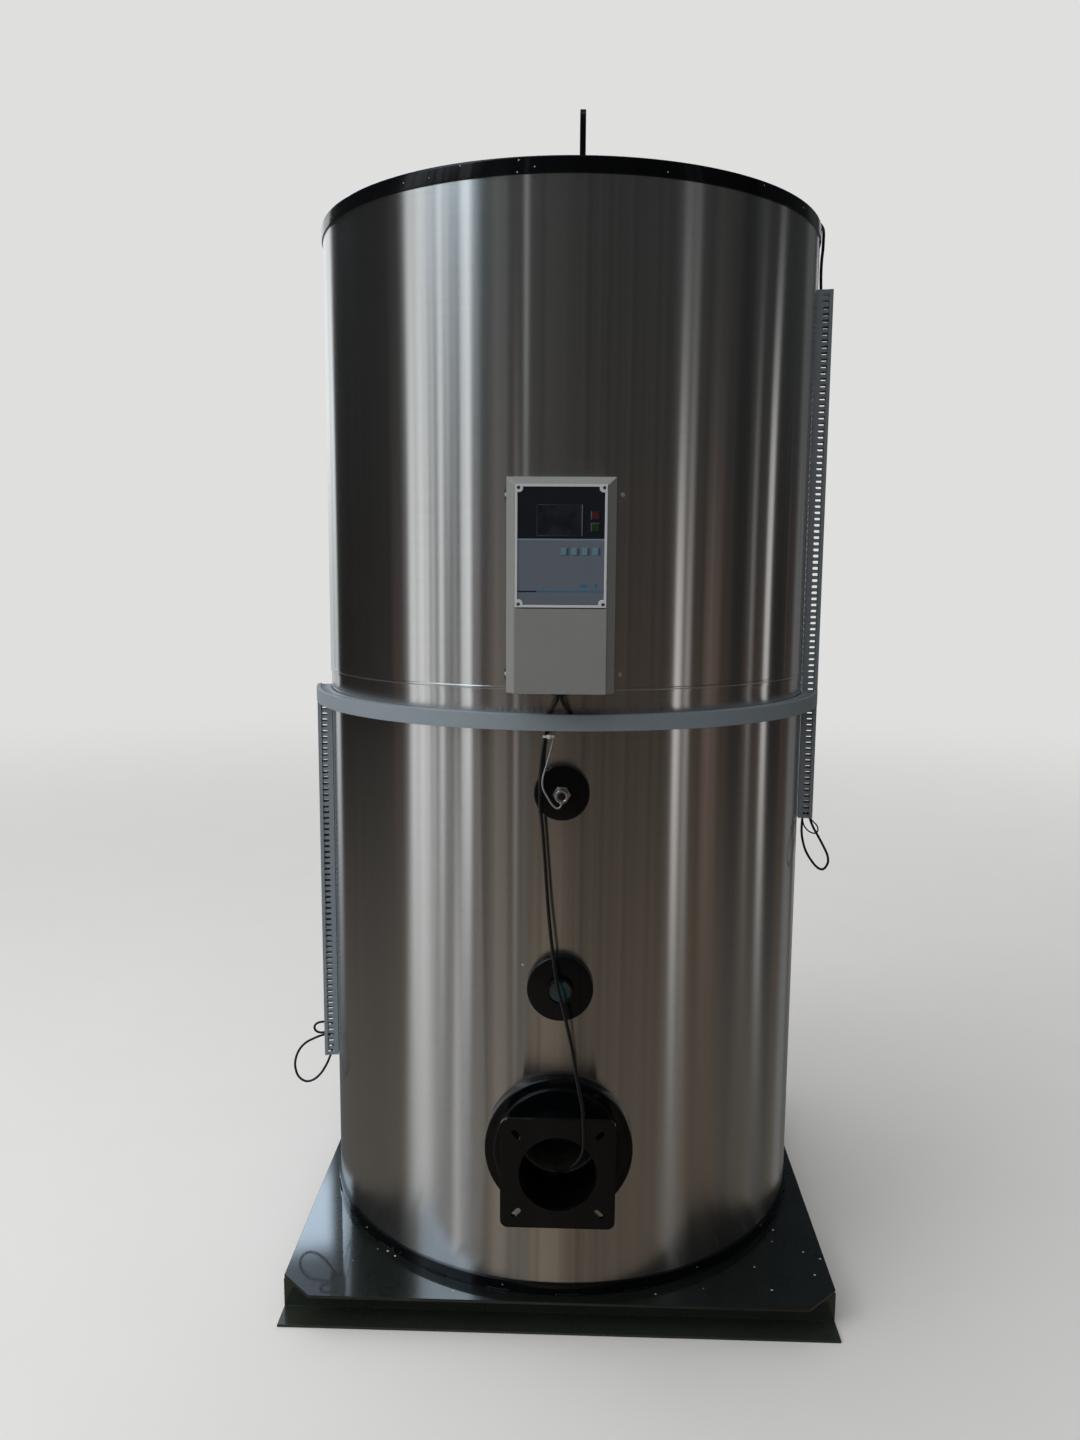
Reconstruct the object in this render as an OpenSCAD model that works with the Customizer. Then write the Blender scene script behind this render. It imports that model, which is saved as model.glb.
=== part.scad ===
// Vertical fire-tube boiler in a stainless jacket, on a square base frame.
// Millimetres, +Z up. The origin is on the floor under the boiler's axis,
// and the burner port faces -Y.

/* [Jacket] */
// Outside diameter of the stainless jacket
shell_d = 1000; // [900:10:1200]
// Height of the lower jacket sheet, from the skirt to the seam
lower_sheet_h = 1115; // [1080:5:1300]
// Height of the upper jacket sheet, from the seam to the rim
upper_sheet_h = 835; // [720:5:1100]
// Thickness of the jacket sheets
sheet_t = 1.5; // [1:0.5:3]
// How far the upper sheet laps down over the lower one
seam_lap = 12; // [8:1:30]
// Width of the upright lap strip where a sheet closes on itself
strip_w = 30; // [20:5:60]
// Direction of the lap strips, in degrees from +X
strip_az = 62; // [40:1:75]
// Depth of the vessel's insulation and water space behind the rear nozzles
nozzle_recess = 60; // [40:5:120]

/* [Rim and skirt] */
// Height of the black top rim
rim_h = 28; // [20:1:50]
// Height of the black skirt at the foot of the jacket
skirt_h = 22; // [15:1:40]
// How far the rim and the skirt stand out beyond the jacket
band_proud = 2.5; // [2:0.5:6]
// Thickness of the rim's upright wall
rim_t = 5; // [4:0.5:8]
// Reach of the rim's inward lip
rim_lip = 38; // [25:1:60]
// Radius on the rim's upper outer edge
rim_round = 4; // [1:0.5:4]
// Thickness of the top cover plate
top_plate_t = 6; // [3:0.5:10]

/* [Base frame] */
// How far the base plate reaches beyond the jacket on each side
base_margin = 22; // [15:1:80]
// Thickness of the base plate
plate_t = 6; // [4:1:12]
// Height of the base angles
angle_h = 60; // [50:5:120]
// Width of the angles' feet
angle_foot = 60; // [40:5:80]
// Thickness of the angles' legs
angle_t = 5; // [4:0.5:8]
// Size of the cut-off corners of the base plate
corner_cut = 60; // [30:5:100]

/* [Burner port] */
// Height of the burner's axis above the base plate
burner_h = 299; // [240:1:330]
// Outside diameter of the round collar in the jacket
burner_collar_d = 268; // [240:2:300]
// Outside diameter of the raised inner ring of the collar
burner_step_d = 234; // [200:2:236]
// How deep the edges of the collars are let into the vessel
collar_seat = 12; // [8:1:20]
// Radius on the front edges of the collars
collar_round = 3; // [1:0.5:5]
// How far the collars' faces stand out in front of the jacket
collar_reach = 20; // [16:1:30]
// Height of the raised inner ring
burner_step = 6; // [3:1:12]
// Outside diameter of the burner tube
burner_tube_d = 159; // [150:1:170]
// Wall of the burner tube
burner_tube_t = 4.5; // [3:0.5:8]
// Distance from the jacket to the front face of the mounting plate
burner_reach = 104; // [80:1:140]
// Side of the square mounting plate
burner_plate_w = 200; // [190:2:230]
// Thickness of the mounting plate
burner_plate_t = 8; // [6:1:12]
// Corner radius of the mounting plate
burner_plate_r = 14; // [6:1:20]
// Diameter of the burner opening in the plate
burner_hole_d = 135; // [110:1:140]
// Pitch circle of the slots for the burner's studs
burner_slot_pcd = 204; // [196:1:208]
// Width of the stud slots
burner_slot_w = 9; // [7:0.5:12]
// Length of the stud slots
burner_slot_l = 20; // [14:1:26]
// Depth of the furnace mouth behind the collar
throat_depth = 260; // [150:10:320]

/* [Sight port] */
// Height of the sight port above the base plate
sight_h = 601; // [560:1:640]
// Outside diameter of the sight port's collar
sight_collar_d = 118; // [100:1:130]
// Outside diameter of the sight pipe
sight_pipe_d = 48; // [42:1:60]
// Wall of the sight pipe
sight_pipe_t = 4; // [3:0.5:6]
// How far the sight pipe stands out of its collar
sight_pipe_reach = 14; // [8:1:40]
// Thickness of the sight glass
sight_glass_t = 5; // [3:0.5:8]
// How far the glass sits behind the end of its pipe
sight_glass_inset = 4; // [2:0.5:8]

/* [Sensor port] */
// How far the sensor port lies below the middle of the ring duct
sensor_drop = 124; // [112:1:160]
// Outside diameter of the sensor port's collar
sensor_collar_d = 97; // [80:1:110]
// Size across the flats of the sensor's hexagon
sensor_hex = 27; // [22:1:36]
// Length of the sensor's hexagon
sensor_hex_l = 12; // [8:1:20]
// Diameter of the sensor's round head
sensor_head_d = 22; // [16:1:24]
// Length of the sensor's round head
sensor_head_l = 14; // [10:1:24]
// Diameter of the sensor's cable spout
spout_d = 9; // [7:0.5:12]
// Length of the cable spout below the head
spout_l = 3; // [2:1:8]

/* [Wiring duct] */
// Outside width of the wiring duct
duct_w = 28; // [25:1:40]
// Outside depth of the wiring duct
duct_d = 30; // [25:1:40]
// Thickness of the duct's walls
duct_t = 1.5; // [1:0.1:2]
// Reach of the cover's lips over the fingers
cover_lip = 6; // [4:0.5:9]
// Distance from one slot to the next
slot_pitch = 12.5; // [10:0.5:20]
// Width of a slot
slot_w = 5.5; // [3:0.5:7]
// Length of a slot, from the finger tips inwards
slot_l = 18; // [12:1:20]
// How far the ring duct's middle lies below the jacket's seam
ring_drop = 59; // [50:1:120]
// Direction of the left upright duct, in degrees from +X
left_az = 188; // [182:0.5:192]
// Direction of the right upright duct, in degrees from +X
right_az = -8; // [-12:0.5:-2]
// Length of the left duct below the ring
left_duct_l = 795; // [300:5:900]
// Reach of the right duct above the middle of the ring
right_duct_up = 811; // [300:1:840]
// Reach of the right duct below the middle of the ring
right_duct_down = 260; // [60:5:600]

/* [Control box] */
// Width of the control box
box_w = 178; // [160:2:220]
// Height of the control box
box_h = 350; // [320:2:420]
// Depth of the control box, with its covers
box_d = 95; // [70:1:120]
// How far the box's middle lies left of the boiler's middle
box_offset = 4; // [0:1:12]
// Gap between the ring duct and the underside of the box
box_gap = 43; // [36:1:70]
// Width of the bevels at the sides and the top
box_bevel = 13; // [8:1:20]
// Thickness of the upper panel and the lower cover
panel_t = 6; // [4:0.5:10]
// Height of the upper panel
panel_h = 196; // [180:1:210]
// Width of the shadow gap between the panel and the lower cover
panel_gap = 2; // [1:0.5:4]
// Width of the raised frame round the panel
frame_w = 4; // [3:0.5:6]
// Height of the raised frame
frame_proud = 1.5; // [1:0.5:3]
// Diameter of the screw bosses in the panel's corners
tab_d = 13; // [10:0.5:16]
// Width of the display window
display_w = 74; // [60:1:80]
// Height of the display window
display_h = 50; // [40:1:54]
// Side of the two push buttons
button_w = 12; // [9:0.5:14]
// Side of the keys
key_w = 12; // [9:0.5:13]
// Distance from one key to the next
key_pitch = 17; // [15:0.5:18]
// Height of the two mounting rails behind the box
rail_h = 20; // [16:1:30]
// Thickness of the mounting rails
rail_t = 4; // [3:0.5:6]
// How far the rails show beside the box
rail_ear = 12; // [9:1:20]
// Distance from the box's ends to the rails' middles
rail_inset = 24; // [18:1:60]
// Diameter of the rails' screw holes
rail_hole = 4; // [3:0.5:6]
// Diameter of the box's cable grommet
grommet_d = 30; // [26:1:40]
// Thickness of the grommet
grommet_h = 6; // [4:1:10]
// Thickness of the display's window
display_t = 1.2; // [0.6:0.2:1.4]
// How far the buttons stand out of the panel
button_t = 1.5; // [0.5:0.5:1.5]
// How far the keys stand out of the panel
key_t = 1; // [0.5:0.5:1.5]
// Distance from the panel's top to the display's middle
display_drop = 57; // [50:1:64]
// Distance from the panel's foot to the keys' middles
key_rise = 90; // [70:1:100]

/* [Top fittings] */
// Outside diameter of the flue collar
flue_d = 200; // [150:5:260]
// Wall of the flue collar
flue_t = 4; // [3:0.5:8]
// Height of the flue collar above the top plate
flue_h = 110; // [60:5:140]
// Height of the lifting lugs
lug_h = 124; // [90:1:140]
// Width of the lifting lugs
lug_w = 80; // [70:1:90]
// Thickness of the lifting lugs
lug_t = 10; // [8:1:16]
// Diameter of the lugs' eyes
lug_eye = 36; // [24:1:40]
// Distance of the lugs from the axis
lug_offset = 405; // [360:5:410]
// How far the lugs stand to the right of the middle
lug_x = 24; // [-40:1:40]
// Depth of the flue's opening in the vessel
flue_recess = 120; // [60:10:200]
// Thickness left under the bore of the relief valve's socket
relief_floor = 10; // [4:1:20]
// Diameter of the lead's gland on the top plate
gland_d = 16; // [12:1:20]
// Distance from the rim's lip to the gland's middle
gland_inset = 14.5; // [10:0.5:40]
// Outside diameter of the relief valve's socket
relief_d = 60; // [48:2:80]
// Height of the relief valve's socket
relief_h = 70; // [40:2:90]
// Bore of the relief valve's socket
relief_bore = 38; // [30:1:42]
// Distance of the relief valve's socket from the axis
relief_offset = 260; // [220:5:300]

/* [Rear nozzles] */
// Height of the return nozzle above the base plate
return_h = 330; // [240:5:500]
// Height of the supply nozzle above the seam
supply_h = 560; // [200:5:640]
// Outside diameter of the nozzle pipes
nozzle_d = 76; // [60:1:84]
// Thickness of the nozzles' wall plates
nozzle_collar_t = 5; // [3:0.5:10]
// Bore of the nozzle pipes
nozzle_bore = 68; // [50:1:76]
// Diameter of the nozzles' flanges
flange_d = 185; // [176:1:200]
// Thickness of the nozzles' flanges
flange_t = 18; // [12:1:24]
// Pitch circle of the flange bolts
flange_pcd = 145; // [142:1:152]
// Diameter of the flanges' bolt holes
flange_hole = 18; // [12:1:20]
// Number of bolt holes in a flange
flange_bolts = 4; // [4:4:8]
// Diameter of the nozzles' wall plates
nozzle_collar_d = 130; // [100:2:160]
// Distance from the jacket to the flanges' faces
nozzle_reach = 104; // [70:1:140]
// Height of the drain above the base plate
drain_h = 80; // [60:5:110]
// Outside diameter of the drain socket
drain_d = 42; // [34:1:50]
// Bore of the drain socket
drain_bore = 27; // [20:1:30]
// Reach of the drain socket beyond the jacket
drain_reach = 60; // [30:5:100]

/* [Cords] */
// Diameter of the burner lead
burner_lead_d = 6.5; // [5:0.5:7]
// Diameter of the sensor lead
sensor_lead_d = 3; // [2:0.5:4]
// Diameter of the spare loops
spare_d = 5; // [4:0.5:5]
// Diameter of the two leads below the control box
box_lead_d = 7; // [5:0.5:8]
// Diameter of the lead over the top rim
top_lead_d = 6; // [5:0.5:7]

/* [Hidden] */

$fn = 96;
// Clearance between curved faces that meet
clear = 0.3;
// A cutter's overrun past a face
over = 2;
// How much narrower the vessel's own openings are than the pipes on them
recess_step = 6;

shell_r = shell_d / 2;
base_w = shell_d + 2 * base_margin;
floor_z = angle_h + plate_t;
skirt_top = floor_z + skirt_h;
seam_z = skirt_top + lower_sheet_h;
jacket_top = seam_z + upper_sheet_h;
rim_top = jacket_top + rim_h;
vessel_r = shell_r - 2 * sheet_t - clear;
band_r = shell_r + band_proud;
rim_inner_r = band_r - rim_t;

burner_z = floor_z + burner_h;
sight_z = floor_z + sight_h;
collar_y = shell_r + collar_reach;

// Distance from the axis to the vessel's wall behind a collar of diameter d
function pocket_y(d) = sqrt(vessel_r * vessel_r - d * d / 4) - collar_seat;

ring_z = seam_z - ring_drop;
sensor_z = ring_z - sensor_drop;
duct_back = shell_r + clear;
duct_inner_w = duct_w - 2 * duct_t - 2 * clear;
finger_r = duct_back + duct_d - duct_t - clear;
duct_out = duct_back + duct_d;
duct_bottom_z = ring_z - duct_w / 2;
duct_top_z = ring_z + duct_w / 2;
// Half the width of an upright duct, as an angle at the jacket
duct_half_az = asin((duct_w / 2 + clear) / shell_r);
// How far the ring duct runs past the left duct, and its gap to the right one, in degrees
ring_past = 0.4;
ring_gap = 0.1;
ring_start = left_az - 360 - duct_half_az - ring_past;
ring_end = right_az - duct_half_az - ring_gap;
ring_span = ring_end - ring_start;
slot_step = slot_pitch / duct_out * 180 / PI;

box_z = duct_top_z + box_gap;
box_back = shell_r + clear + rail_t;
box_front = box_back + box_d;
// Flat margin between the covers and the bevels of the box
face_margin = 1;
face_w = box_w - 2 * (box_bevel + face_margin);
face_top = box_z + box_h - box_bevel;
panel_z = face_top - panel_h;

top_z = jacket_top + top_plate_t;
// Where the lead over the rim goes into the top plate
gland_spot = [band_r - rim_lip - gland_inset, -72];
gland_h = 8;

// Middles of the notches that let leads into the ring duct, with their widths
top_notches = [[-22, 14], [14, 14]];
bottom_notches = [[-24, 34]];

steel_paint = [0.13, 0.17, 0.17];
black_paint = [0.04, 0.04, 0.045];
stainless = [0.72, 0.71, 0.69];
pvc_grey = [0.42, 0.46, 0.50];
box_grey = [0.74, 0.75, 0.74];
cord_black = [0.05, 0.045, 0.045];

// Round pieces that lie along the Y axis

module front_rod(z, d, from, to) {
  translate([0, -from, z]) rotate([90, 0, 0]) cylinder(d = d, h = to - from);
}

module rear_rod(z, d, from, to) {
  translate([0, to, z]) rotate([90, 0, 0]) cylinder(d = d, h = to - from);
}

// A disc with a rounded front edge, turned about the Y axis
module front_disc(z, d, from, to, edge) {
  translate([0, -from, z]) rotate([90, 0, 0]) rotate_extrude()
    polygon(concat([[0, 0], [d / 2, 0]],
      [for (a = [0:15:90]) [d / 2 - edge + edge * cos(a), to - from - edge + edge * sin(a)]],
      [[0, to - from]]));
}

// Base frame

module chamfered_square(w, cut) {
  h = w / 2;
  polygon([[h - cut, -h], [h, cut - h], [h, h - cut], [h - cut, h],
    [cut - h, h], [-h, h - cut], [-h, cut - h], [cut - h, -h]]);
}

module base_plate() {
  color(steel_paint) translate([0, 0, angle_h]) linear_extrude(plate_t) chamfered_square(base_w, corner_cut);
}

// Angle section: an upright leg at x = 0 and a foot towards +X
module angle_section() {
  square([angle_t, angle_h]);
  square([angle_foot, angle_t]);
}

// Full-width angles with their feet outwards, at the front and the rear
module cross_angles() {
  color(steel_paint) for (side = [0, 1]) mirror([0, side, 0])
    translate([-base_w / 2, base_w / 2 - angle_foot, 0]) rotate([90, 0, 90])
      linear_extrude(base_w) angle_section();
}

// Angles along the sides, between the full-width ones, with their feet inwards
module side_angles() {
  run = base_w - 2 * angle_foot;
  color(steel_paint) for (side = [0, 1]) mirror([side, 0, 0])
    translate([-base_w / 2, run / 2, 0]) rotate([90, 0, 0]) linear_extrude(run) angle_section();
}

// Vessel and jacket

module port_cutouts() {
  front_rod(burner_z, burner_collar_d + 2 * clear, shell_r / 2, collar_y + over);
  front_rod(sight_z, sight_collar_d + 2 * clear, shell_r / 2, collar_y + over);
  front_rod(sensor_z, sensor_collar_d + 2 * clear, shell_r / 2, collar_y + over);
}

module nozzle_cutouts() {
  rear_rod(return_z, nozzle_d + 2 * clear, shell_r / 2, shell_r + over);
  rear_rod(supply_z, nozzle_d + 2 * clear, shell_r / 2, shell_r + over);
  rear_rod(floor_z + drain_h, drain_d + 2 * clear, shell_r / 2, shell_r + over);
}

module boiler_vessel() {
  color([0.3, 0.3, 0.3]) difference() {
    translate([0, 0, floor_z]) cylinder(r = vessel_r, h = jacket_top - floor_z);
    front_rod(burner_z, burner_collar_d + 2 * clear, pocket_y(burner_collar_d), shell_r);
    front_rod(burner_z, burner_tube_d - 2 * burner_tube_t - recess_step,
      pocket_y(burner_collar_d) - throat_depth, shell_r);
    front_rod(sight_z, sight_collar_d + 2 * clear, pocket_y(sight_collar_d), shell_r);
    front_rod(sensor_z, sensor_collar_d + 2 * clear, pocket_y(sensor_collar_d), shell_r);
    for (z = [supply_z, return_z]) {
      rear_rod(z, nozzle_d + 2 * clear, pocket_y(nozzle_d), shell_r);
      rear_rod(z, nozzle_bore - recess_step, pocket_y(nozzle_d) - nozzle_recess, shell_r);
    }
    rear_rod(floor_z + drain_h, drain_d + 2 * clear, pocket_y(drain_d), shell_r);
    translate([0, 0, jacket_top - flue_recess])
      cylinder(d = flue_d - 2 * flue_t - recess_step, h = flue_recess + over);
  }
}

// A jacket sheet from z0 to z1 with outer radius r, its lap strip ending at strip_top
module sheet(r, z0, z1, strip_top) {
  half_az = strip_w / 2 / r * 180 / PI;
  rotate([0, 0, strip_az]) {
    translate([0, 0, z0]) rotate_extrude($fn = 180) translate([r - sheet_t, 0]) square([sheet_t, z1 - z0]);
    translate([0, 0, z0]) rotate([0, 0, -half_az]) rotate_extrude(angle = 2 * half_az, $fn = 180)
      translate([r - sheet_t / 2, 0]) square([1.5 * sheet_t, strip_top - z0]);
  }
}

// The lap strips stop short of the upper sheet and of the rim
module lower_jacket() {
  color(stainless) difference() {
    sheet(shell_r - sheet_t, skirt_top, seam_z, seam_z - seam_lap - clear);
    port_cutouts();
    nozzle_cutouts();
  }
}

module upper_jacket() {
  color(stainless) difference() {
    sheet(shell_r, seam_z - seam_lap, jacket_top, jacket_top - clear);
    nozzle_cutouts();
  }
}

module skirt() {
  color(black_paint) translate([0, 0, floor_z]) rotate_extrude($fn = 180)
    translate([vessel_r + clear, 0]) square([band_r - vessel_r - clear, skirt_h]);
}

module top_rim() {
  color(black_paint) translate([0, 0, jacket_top]) rotate_extrude($fn = 180)
    polygon(concat([[rim_inner_r, 0], [band_r, 0]],
      [for (a = [0:15:90]) [band_r - rim_round + rim_round * cos(a), rim_h - rim_round + rim_round * sin(a)]],
      [[band_r - rim_lip, rim_h], [band_r - rim_lip, rim_h - rim_t], [rim_inner_r, rim_h - rim_t]]));
}

module top_plate() {
  color(black_paint) translate([0, 0, jacket_top]) difference() {
    cylinder(r = rim_inner_r - clear, h = top_plate_t, $fn = 180);
    translate([0, 0, -over]) cylinder(d = flue_d - 2 * flue_t - recess_step / 2, h = top_plate_t + 2 * over);
  }
}

// Burner port

module burner_collar() {
  back = pocket_y(burner_collar_d);
  color(black_paint) difference() {
    union() {
      front_disc(burner_z, burner_collar_d, back, collar_y, collar_round);
      front_disc(burner_z, burner_step_d, back, collar_y + burner_step, collar_round);
    }
    front_rod(burner_z, burner_tube_d + 2 * clear, back - over, collar_y + burner_step + over);
  }
}

module burner_tube() {
  color(black_paint) difference() {
    front_rod(burner_z, burner_tube_d, pocket_y(burner_collar_d), shell_r + burner_reach - burner_plate_t);
    front_rod(burner_z, burner_tube_d - 2 * burner_tube_t, pocket_y(burner_collar_d) - over,
      shell_r + burner_reach);
  }
}

module burner_plate() {
  half = (burner_slot_l - burner_slot_w) / 2;
  side = burner_plate_w - 2 * burner_plate_r;
  color(black_paint) translate([0, burner_plate_t - shell_r - burner_reach, burner_z]) rotate([90, 0, 0])
    difference() {
      union() {
        translate([-side / 2, -burner_plate_w / 2, 0]) cube([side, burner_plate_w, burner_plate_t]);
        translate([-burner_plate_w / 2, -side / 2, 0]) cube([burner_plate_w, side, burner_plate_t]);
        for (x = [-1, 1]) for (y = [-1, 1]) translate([x * side / 2, y * side / 2, 0])
          cylinder(r = burner_plate_r, h = burner_plate_t);
      }
      translate([0, 0, -over]) cylinder(d = burner_hole_d, h = burner_plate_t + 2 * over);
      for (a = [45:90:315]) rotate([0, 0, a]) translate([burner_slot_pcd / 2, 0, -over]) {
        translate([-half, -burner_slot_w / 2, 0]) cube([2 * half, burner_slot_w, burner_plate_t + 2 * over]);
        for (s = [-1, 1]) translate([s * half, 0, 0])
          cylinder(d = burner_slot_w, h = burner_plate_t + 2 * over);
      }
    }
}

// Sight port and sensor port

module sight_collar() {
  color(black_paint) front_disc(sight_z, sight_collar_d, pocket_y(sight_collar_d), collar_y, collar_round);
}

module sight_pipe() {
  color(black_paint) difference() {
    front_rod(sight_z, sight_pipe_d, collar_y, collar_y + sight_pipe_reach);
    front_rod(sight_z, sight_pipe_d - 2 * sight_pipe_t, collar_y - over, collar_y + sight_pipe_reach + over);
  }
}

module sight_glass() {
  face = collar_y + sight_pipe_reach - sight_glass_inset;
  color([0.25, 0.45, 0.47]) front_rod(sight_z, sight_pipe_d - 2 * sight_pipe_t - 2 * clear, face - sight_glass_t, face);
}

module sensor_collar() {
  color(black_paint) front_disc(sensor_z, sensor_collar_d, pocket_y(sensor_collar_d), collar_y, collar_round);
}

sensor_head_y = collar_y + sensor_hex_l + sensor_head_l / 2;
spout_top = sensor_z - sensor_head_d / 2 + over;

module sensor_fitting() {
  color([0.75, 0.75, 0.73]) {
    translate([0, -collar_y, sensor_z]) rotate([90, 0, 0])
      cylinder(d = sensor_hex / cos(30), h = sensor_hex_l, $fn = 6);
    front_rod(sensor_z, sensor_head_d, collar_y + sensor_hex_l, collar_y + sensor_hex_l + sensor_head_l);
    translate([0, -sensor_head_y, spout_top - spout_l - over]) cylinder(d = spout_d, h = spout_l + over);
  }
}

// Slotted wiring duct with a snap-on cover

// A slot with a round inner end, opening at x = 0
module slot_outline() {
  translate([slot_w / 2 - slot_l, -slot_w / 2]) square([slot_l - slot_w / 2 + over, slot_w]);
  translate([slot_w / 2 - slot_l, 0]) circle(d = slot_w);
}

// A finger wall of a straight duct, of length run, in the plane of its own face
module finger_wall(run) {
  count = floor((run - slot_w) / slot_pitch);
  start = (run - (count - 1) * slot_pitch) / 2;
  difference() {
    square([finger_r - duct_back, run]);
    for (i = [0:count - 1]) translate([finger_r - duct_back, start + i * slot_pitch]) slot_outline();
  }
}

// A straight duct that stands on the jacket at azimuth az, from z0 upwards
module upright_duct(az, z0, run) {
  color(pvc_grey) rotate([0, 0, az]) translate([duct_back, 0, z0]) {
    translate([0, -duct_inner_w / 2, 0]) cube([duct_t, duct_inner_w, run]);
    for (y = [duct_t - duct_inner_w / 2, duct_inner_w / 2]) translate([0, y, 0])
      rotate([90, 0, 0]) linear_extrude(duct_t) finger_wall(run);
  }
}

module upright_cover(az, z0, run) {
  half = duct_w / 2;
  depth = duct_t + cover_lip;
  color(pvc_grey) rotate([0, 0, az]) translate([duct_back + duct_d, 0, z0]) linear_extrude(run)
    polygon([[0, -half], [0, half], [-depth, half], [-depth, half - duct_t], [-duct_t, half - duct_t],
      [-duct_t, duct_t - half], [-depth, duct_t - half], [-depth, -half]]);
}

// A notch in the wall of the ring duct where leads pass, at x along the front
module lead_notch(x, w, z) {
  rotate([0, 0, asin(x / duct_out)]) translate([-w / 2, -finger_r - over, z])
    cube([w, finger_r + over - duct_back - duct_t, duct_t + 2 * over]);
}

module ring_duct() {
  half = duct_inner_w / 2;
  wall = finger_r - duct_back;
  count = floor((ring_span - slot_w / duct_out * 180 / PI) / slot_step);
  start = (ring_span - (count - 1) * slot_step) / 2;
  color(pvc_grey) difference() {
    rotate([0, 0, ring_start]) translate([0, 0, ring_z]) rotate_extrude(angle = ring_span, $fn = 180)
      translate([duct_back, -half]) polygon([[0, 0], [wall, 0], [wall, duct_t], [duct_t, duct_t],
        [duct_t, 2 * half - duct_t], [wall, 2 * half - duct_t], [wall, 2 * half], [0, 2 * half]]);
    for (i = [0:count - 1]) rotate([0, 0, ring_start + start + i * slot_step])
      translate([finger_r, 0, ring_z - half - over]) linear_extrude(2 * half + 2 * over) slot_outline();
    for (n = top_notches) lead_notch(n[0], n[1], ring_z + half - duct_t - over);
    for (n = bottom_notches) lead_notch(n[0], n[1], ring_z - half - over);
  }
}

module ring_duct_cover() {
  half = duct_w / 2;
  depth = duct_t + cover_lip;
  color(pvc_grey) rotate([0, 0, ring_start]) translate([0, 0, ring_z])
    rotate_extrude(angle = ring_span, $fn = 180) translate([duct_out, 0])
      polygon([[0, -half], [0, half], [-depth, half], [-depth, half - duct_t], [-duct_t, half - duct_t],
        [-duct_t, duct_t - half], [-depth, duct_t - half], [-depth, -half]]);
}

left_duct_z = duct_bottom_z - left_duct_l;
right_duct_z = ring_z - right_duct_down;
right_duct_l = right_duct_up + right_duct_down;

module left_duct() { upright_duct(left_az, left_duct_z, left_duct_l); }
module left_duct_cover() { upright_cover(left_az, left_duct_z, left_duct_l); }
module right_duct() { upright_duct(right_az, right_duct_z, right_duct_l); }
module right_duct_cover() { upright_cover(right_az, right_duct_z, right_duct_l); }

// Control box on its two rails

module rail(z) {
  w = box_w + 2 * rail_ear;
  color(stainless) translate([-w / 2, -shell_r - clear - rail_t, z - rail_h / 2]) difference() {
    cube([w, rail_t, rail_h]);
    for (x = [rail_hole, w - rail_hole]) translate([x, -over, rail_h / 2]) rotate([-90, 0, 0])
      cylinder(d = rail_hole, h = rail_t + 2 * over);
  }
}

module box_rails() {
  rail(box_z + box_h - rail_inset);
  rail(box_z + rail_inset);
}

housing_front = box_front - panel_t;

module control_box() {
  half = box_w / 2;
  face = face_w / 2 + face_margin;
  color(box_grey) translate([-box_offset, 0, 0]) intersection() {
    translate([0, 0, box_z]) linear_extrude(box_h)
      polygon([[-half, -box_back], [half, -box_back], [half, box_bevel - housing_front],
        [face, -housing_front], [-face, -housing_front], [-half, box_bevel - housing_front]]);
    translate([-half, 0, 0]) rotate([90, 0, 90]) linear_extrude(box_w)
      polygon([[-box_back, box_z], [-box_back, box_z + box_h], [box_bevel - housing_front, box_z + box_h],
        [-housing_front, face_top], [-housing_front, box_z]]);
  }
}

module control_panel() {
  w = face_w - 2 * face_margin;
  tab = tab_d / 2;
  depth = panel_t - frame_proud;
  color(box_grey) translate([-box_offset, -housing_front, panel_z]) rotate([90, 0, 0]) {
    translate([-w / 2, 0, 0]) cube([w, panel_h, depth]);
    difference() {
      translate([-w / 2, 0, 0]) cube([w, panel_h, panel_t]);
      translate([frame_w - w / 2, frame_w, depth]) cube([w - 2 * frame_w, panel_h - 2 * frame_w, panel_t]);
    }
    for (x = [tab - w / 2, w / 2 - tab]) for (y = [tab, panel_h - tab]) translate([x, y, 0])
      cylinder(d = tab_d, h = panel_t);
  }
}

module control_lower_cover() {
  color(box_grey) translate([-box_offset - face_w / 2, -box_front, box_z])
    cube([face_w, panel_t, panel_z - panel_gap - box_z]);
}

panel_face = box_front - frame_proud;
display_x = -6;
display_z = panel_z + panel_h - display_drop;
// The buttons' middles, beside the display
button_x = 51;
stop_rise = 8;
start_drop = 11;
// The first key's middle
key_x = 2;
key_z = panel_z + key_rise;

// A block that stands on the panel's face, centred at x and z
module panel_block(x, z, w, h, t) {
  translate([x - w / 2, -panel_face - t, z - h / 2]) cube([w, t, h]);
}

module control_display() {
  color([0.05, 0.06, 0.07]) panel_block(display_x, display_z, display_w, display_h, display_t);
}

module stop_button() {
  color([0.7, 0.1, 0.1]) panel_block(button_x, display_z + stop_rise, button_w, button_w, button_t);
}

module start_button() {
  color([0.1, 0.5, 0.25]) panel_block(button_x, display_z - start_drop, button_w, button_w, button_t);
}

module control_keys() {
  color([0.4, 0.6, 0.75]) for (i = [0:3])
    panel_block(key_x + i * key_pitch, key_z, key_w, key_w, key_t);
}

grommet_x = -5;
grommet_y = -box_back - box_d / 2;

module box_grommet() {
  color(cord_black) translate([grommet_x, grommet_y, box_z - grommet_h]) cylinder(d = grommet_d, h = grommet_h);
}

// Top fittings

module flue_collar() {
  color(black_paint) translate([0, 0, top_z]) difference() {
    cylinder(d = flue_d, h = flue_h);
    translate([0, 0, -over]) cylinder(d = flue_d - 2 * flue_t, h = flue_h + 2 * over);
  }
}

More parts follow.
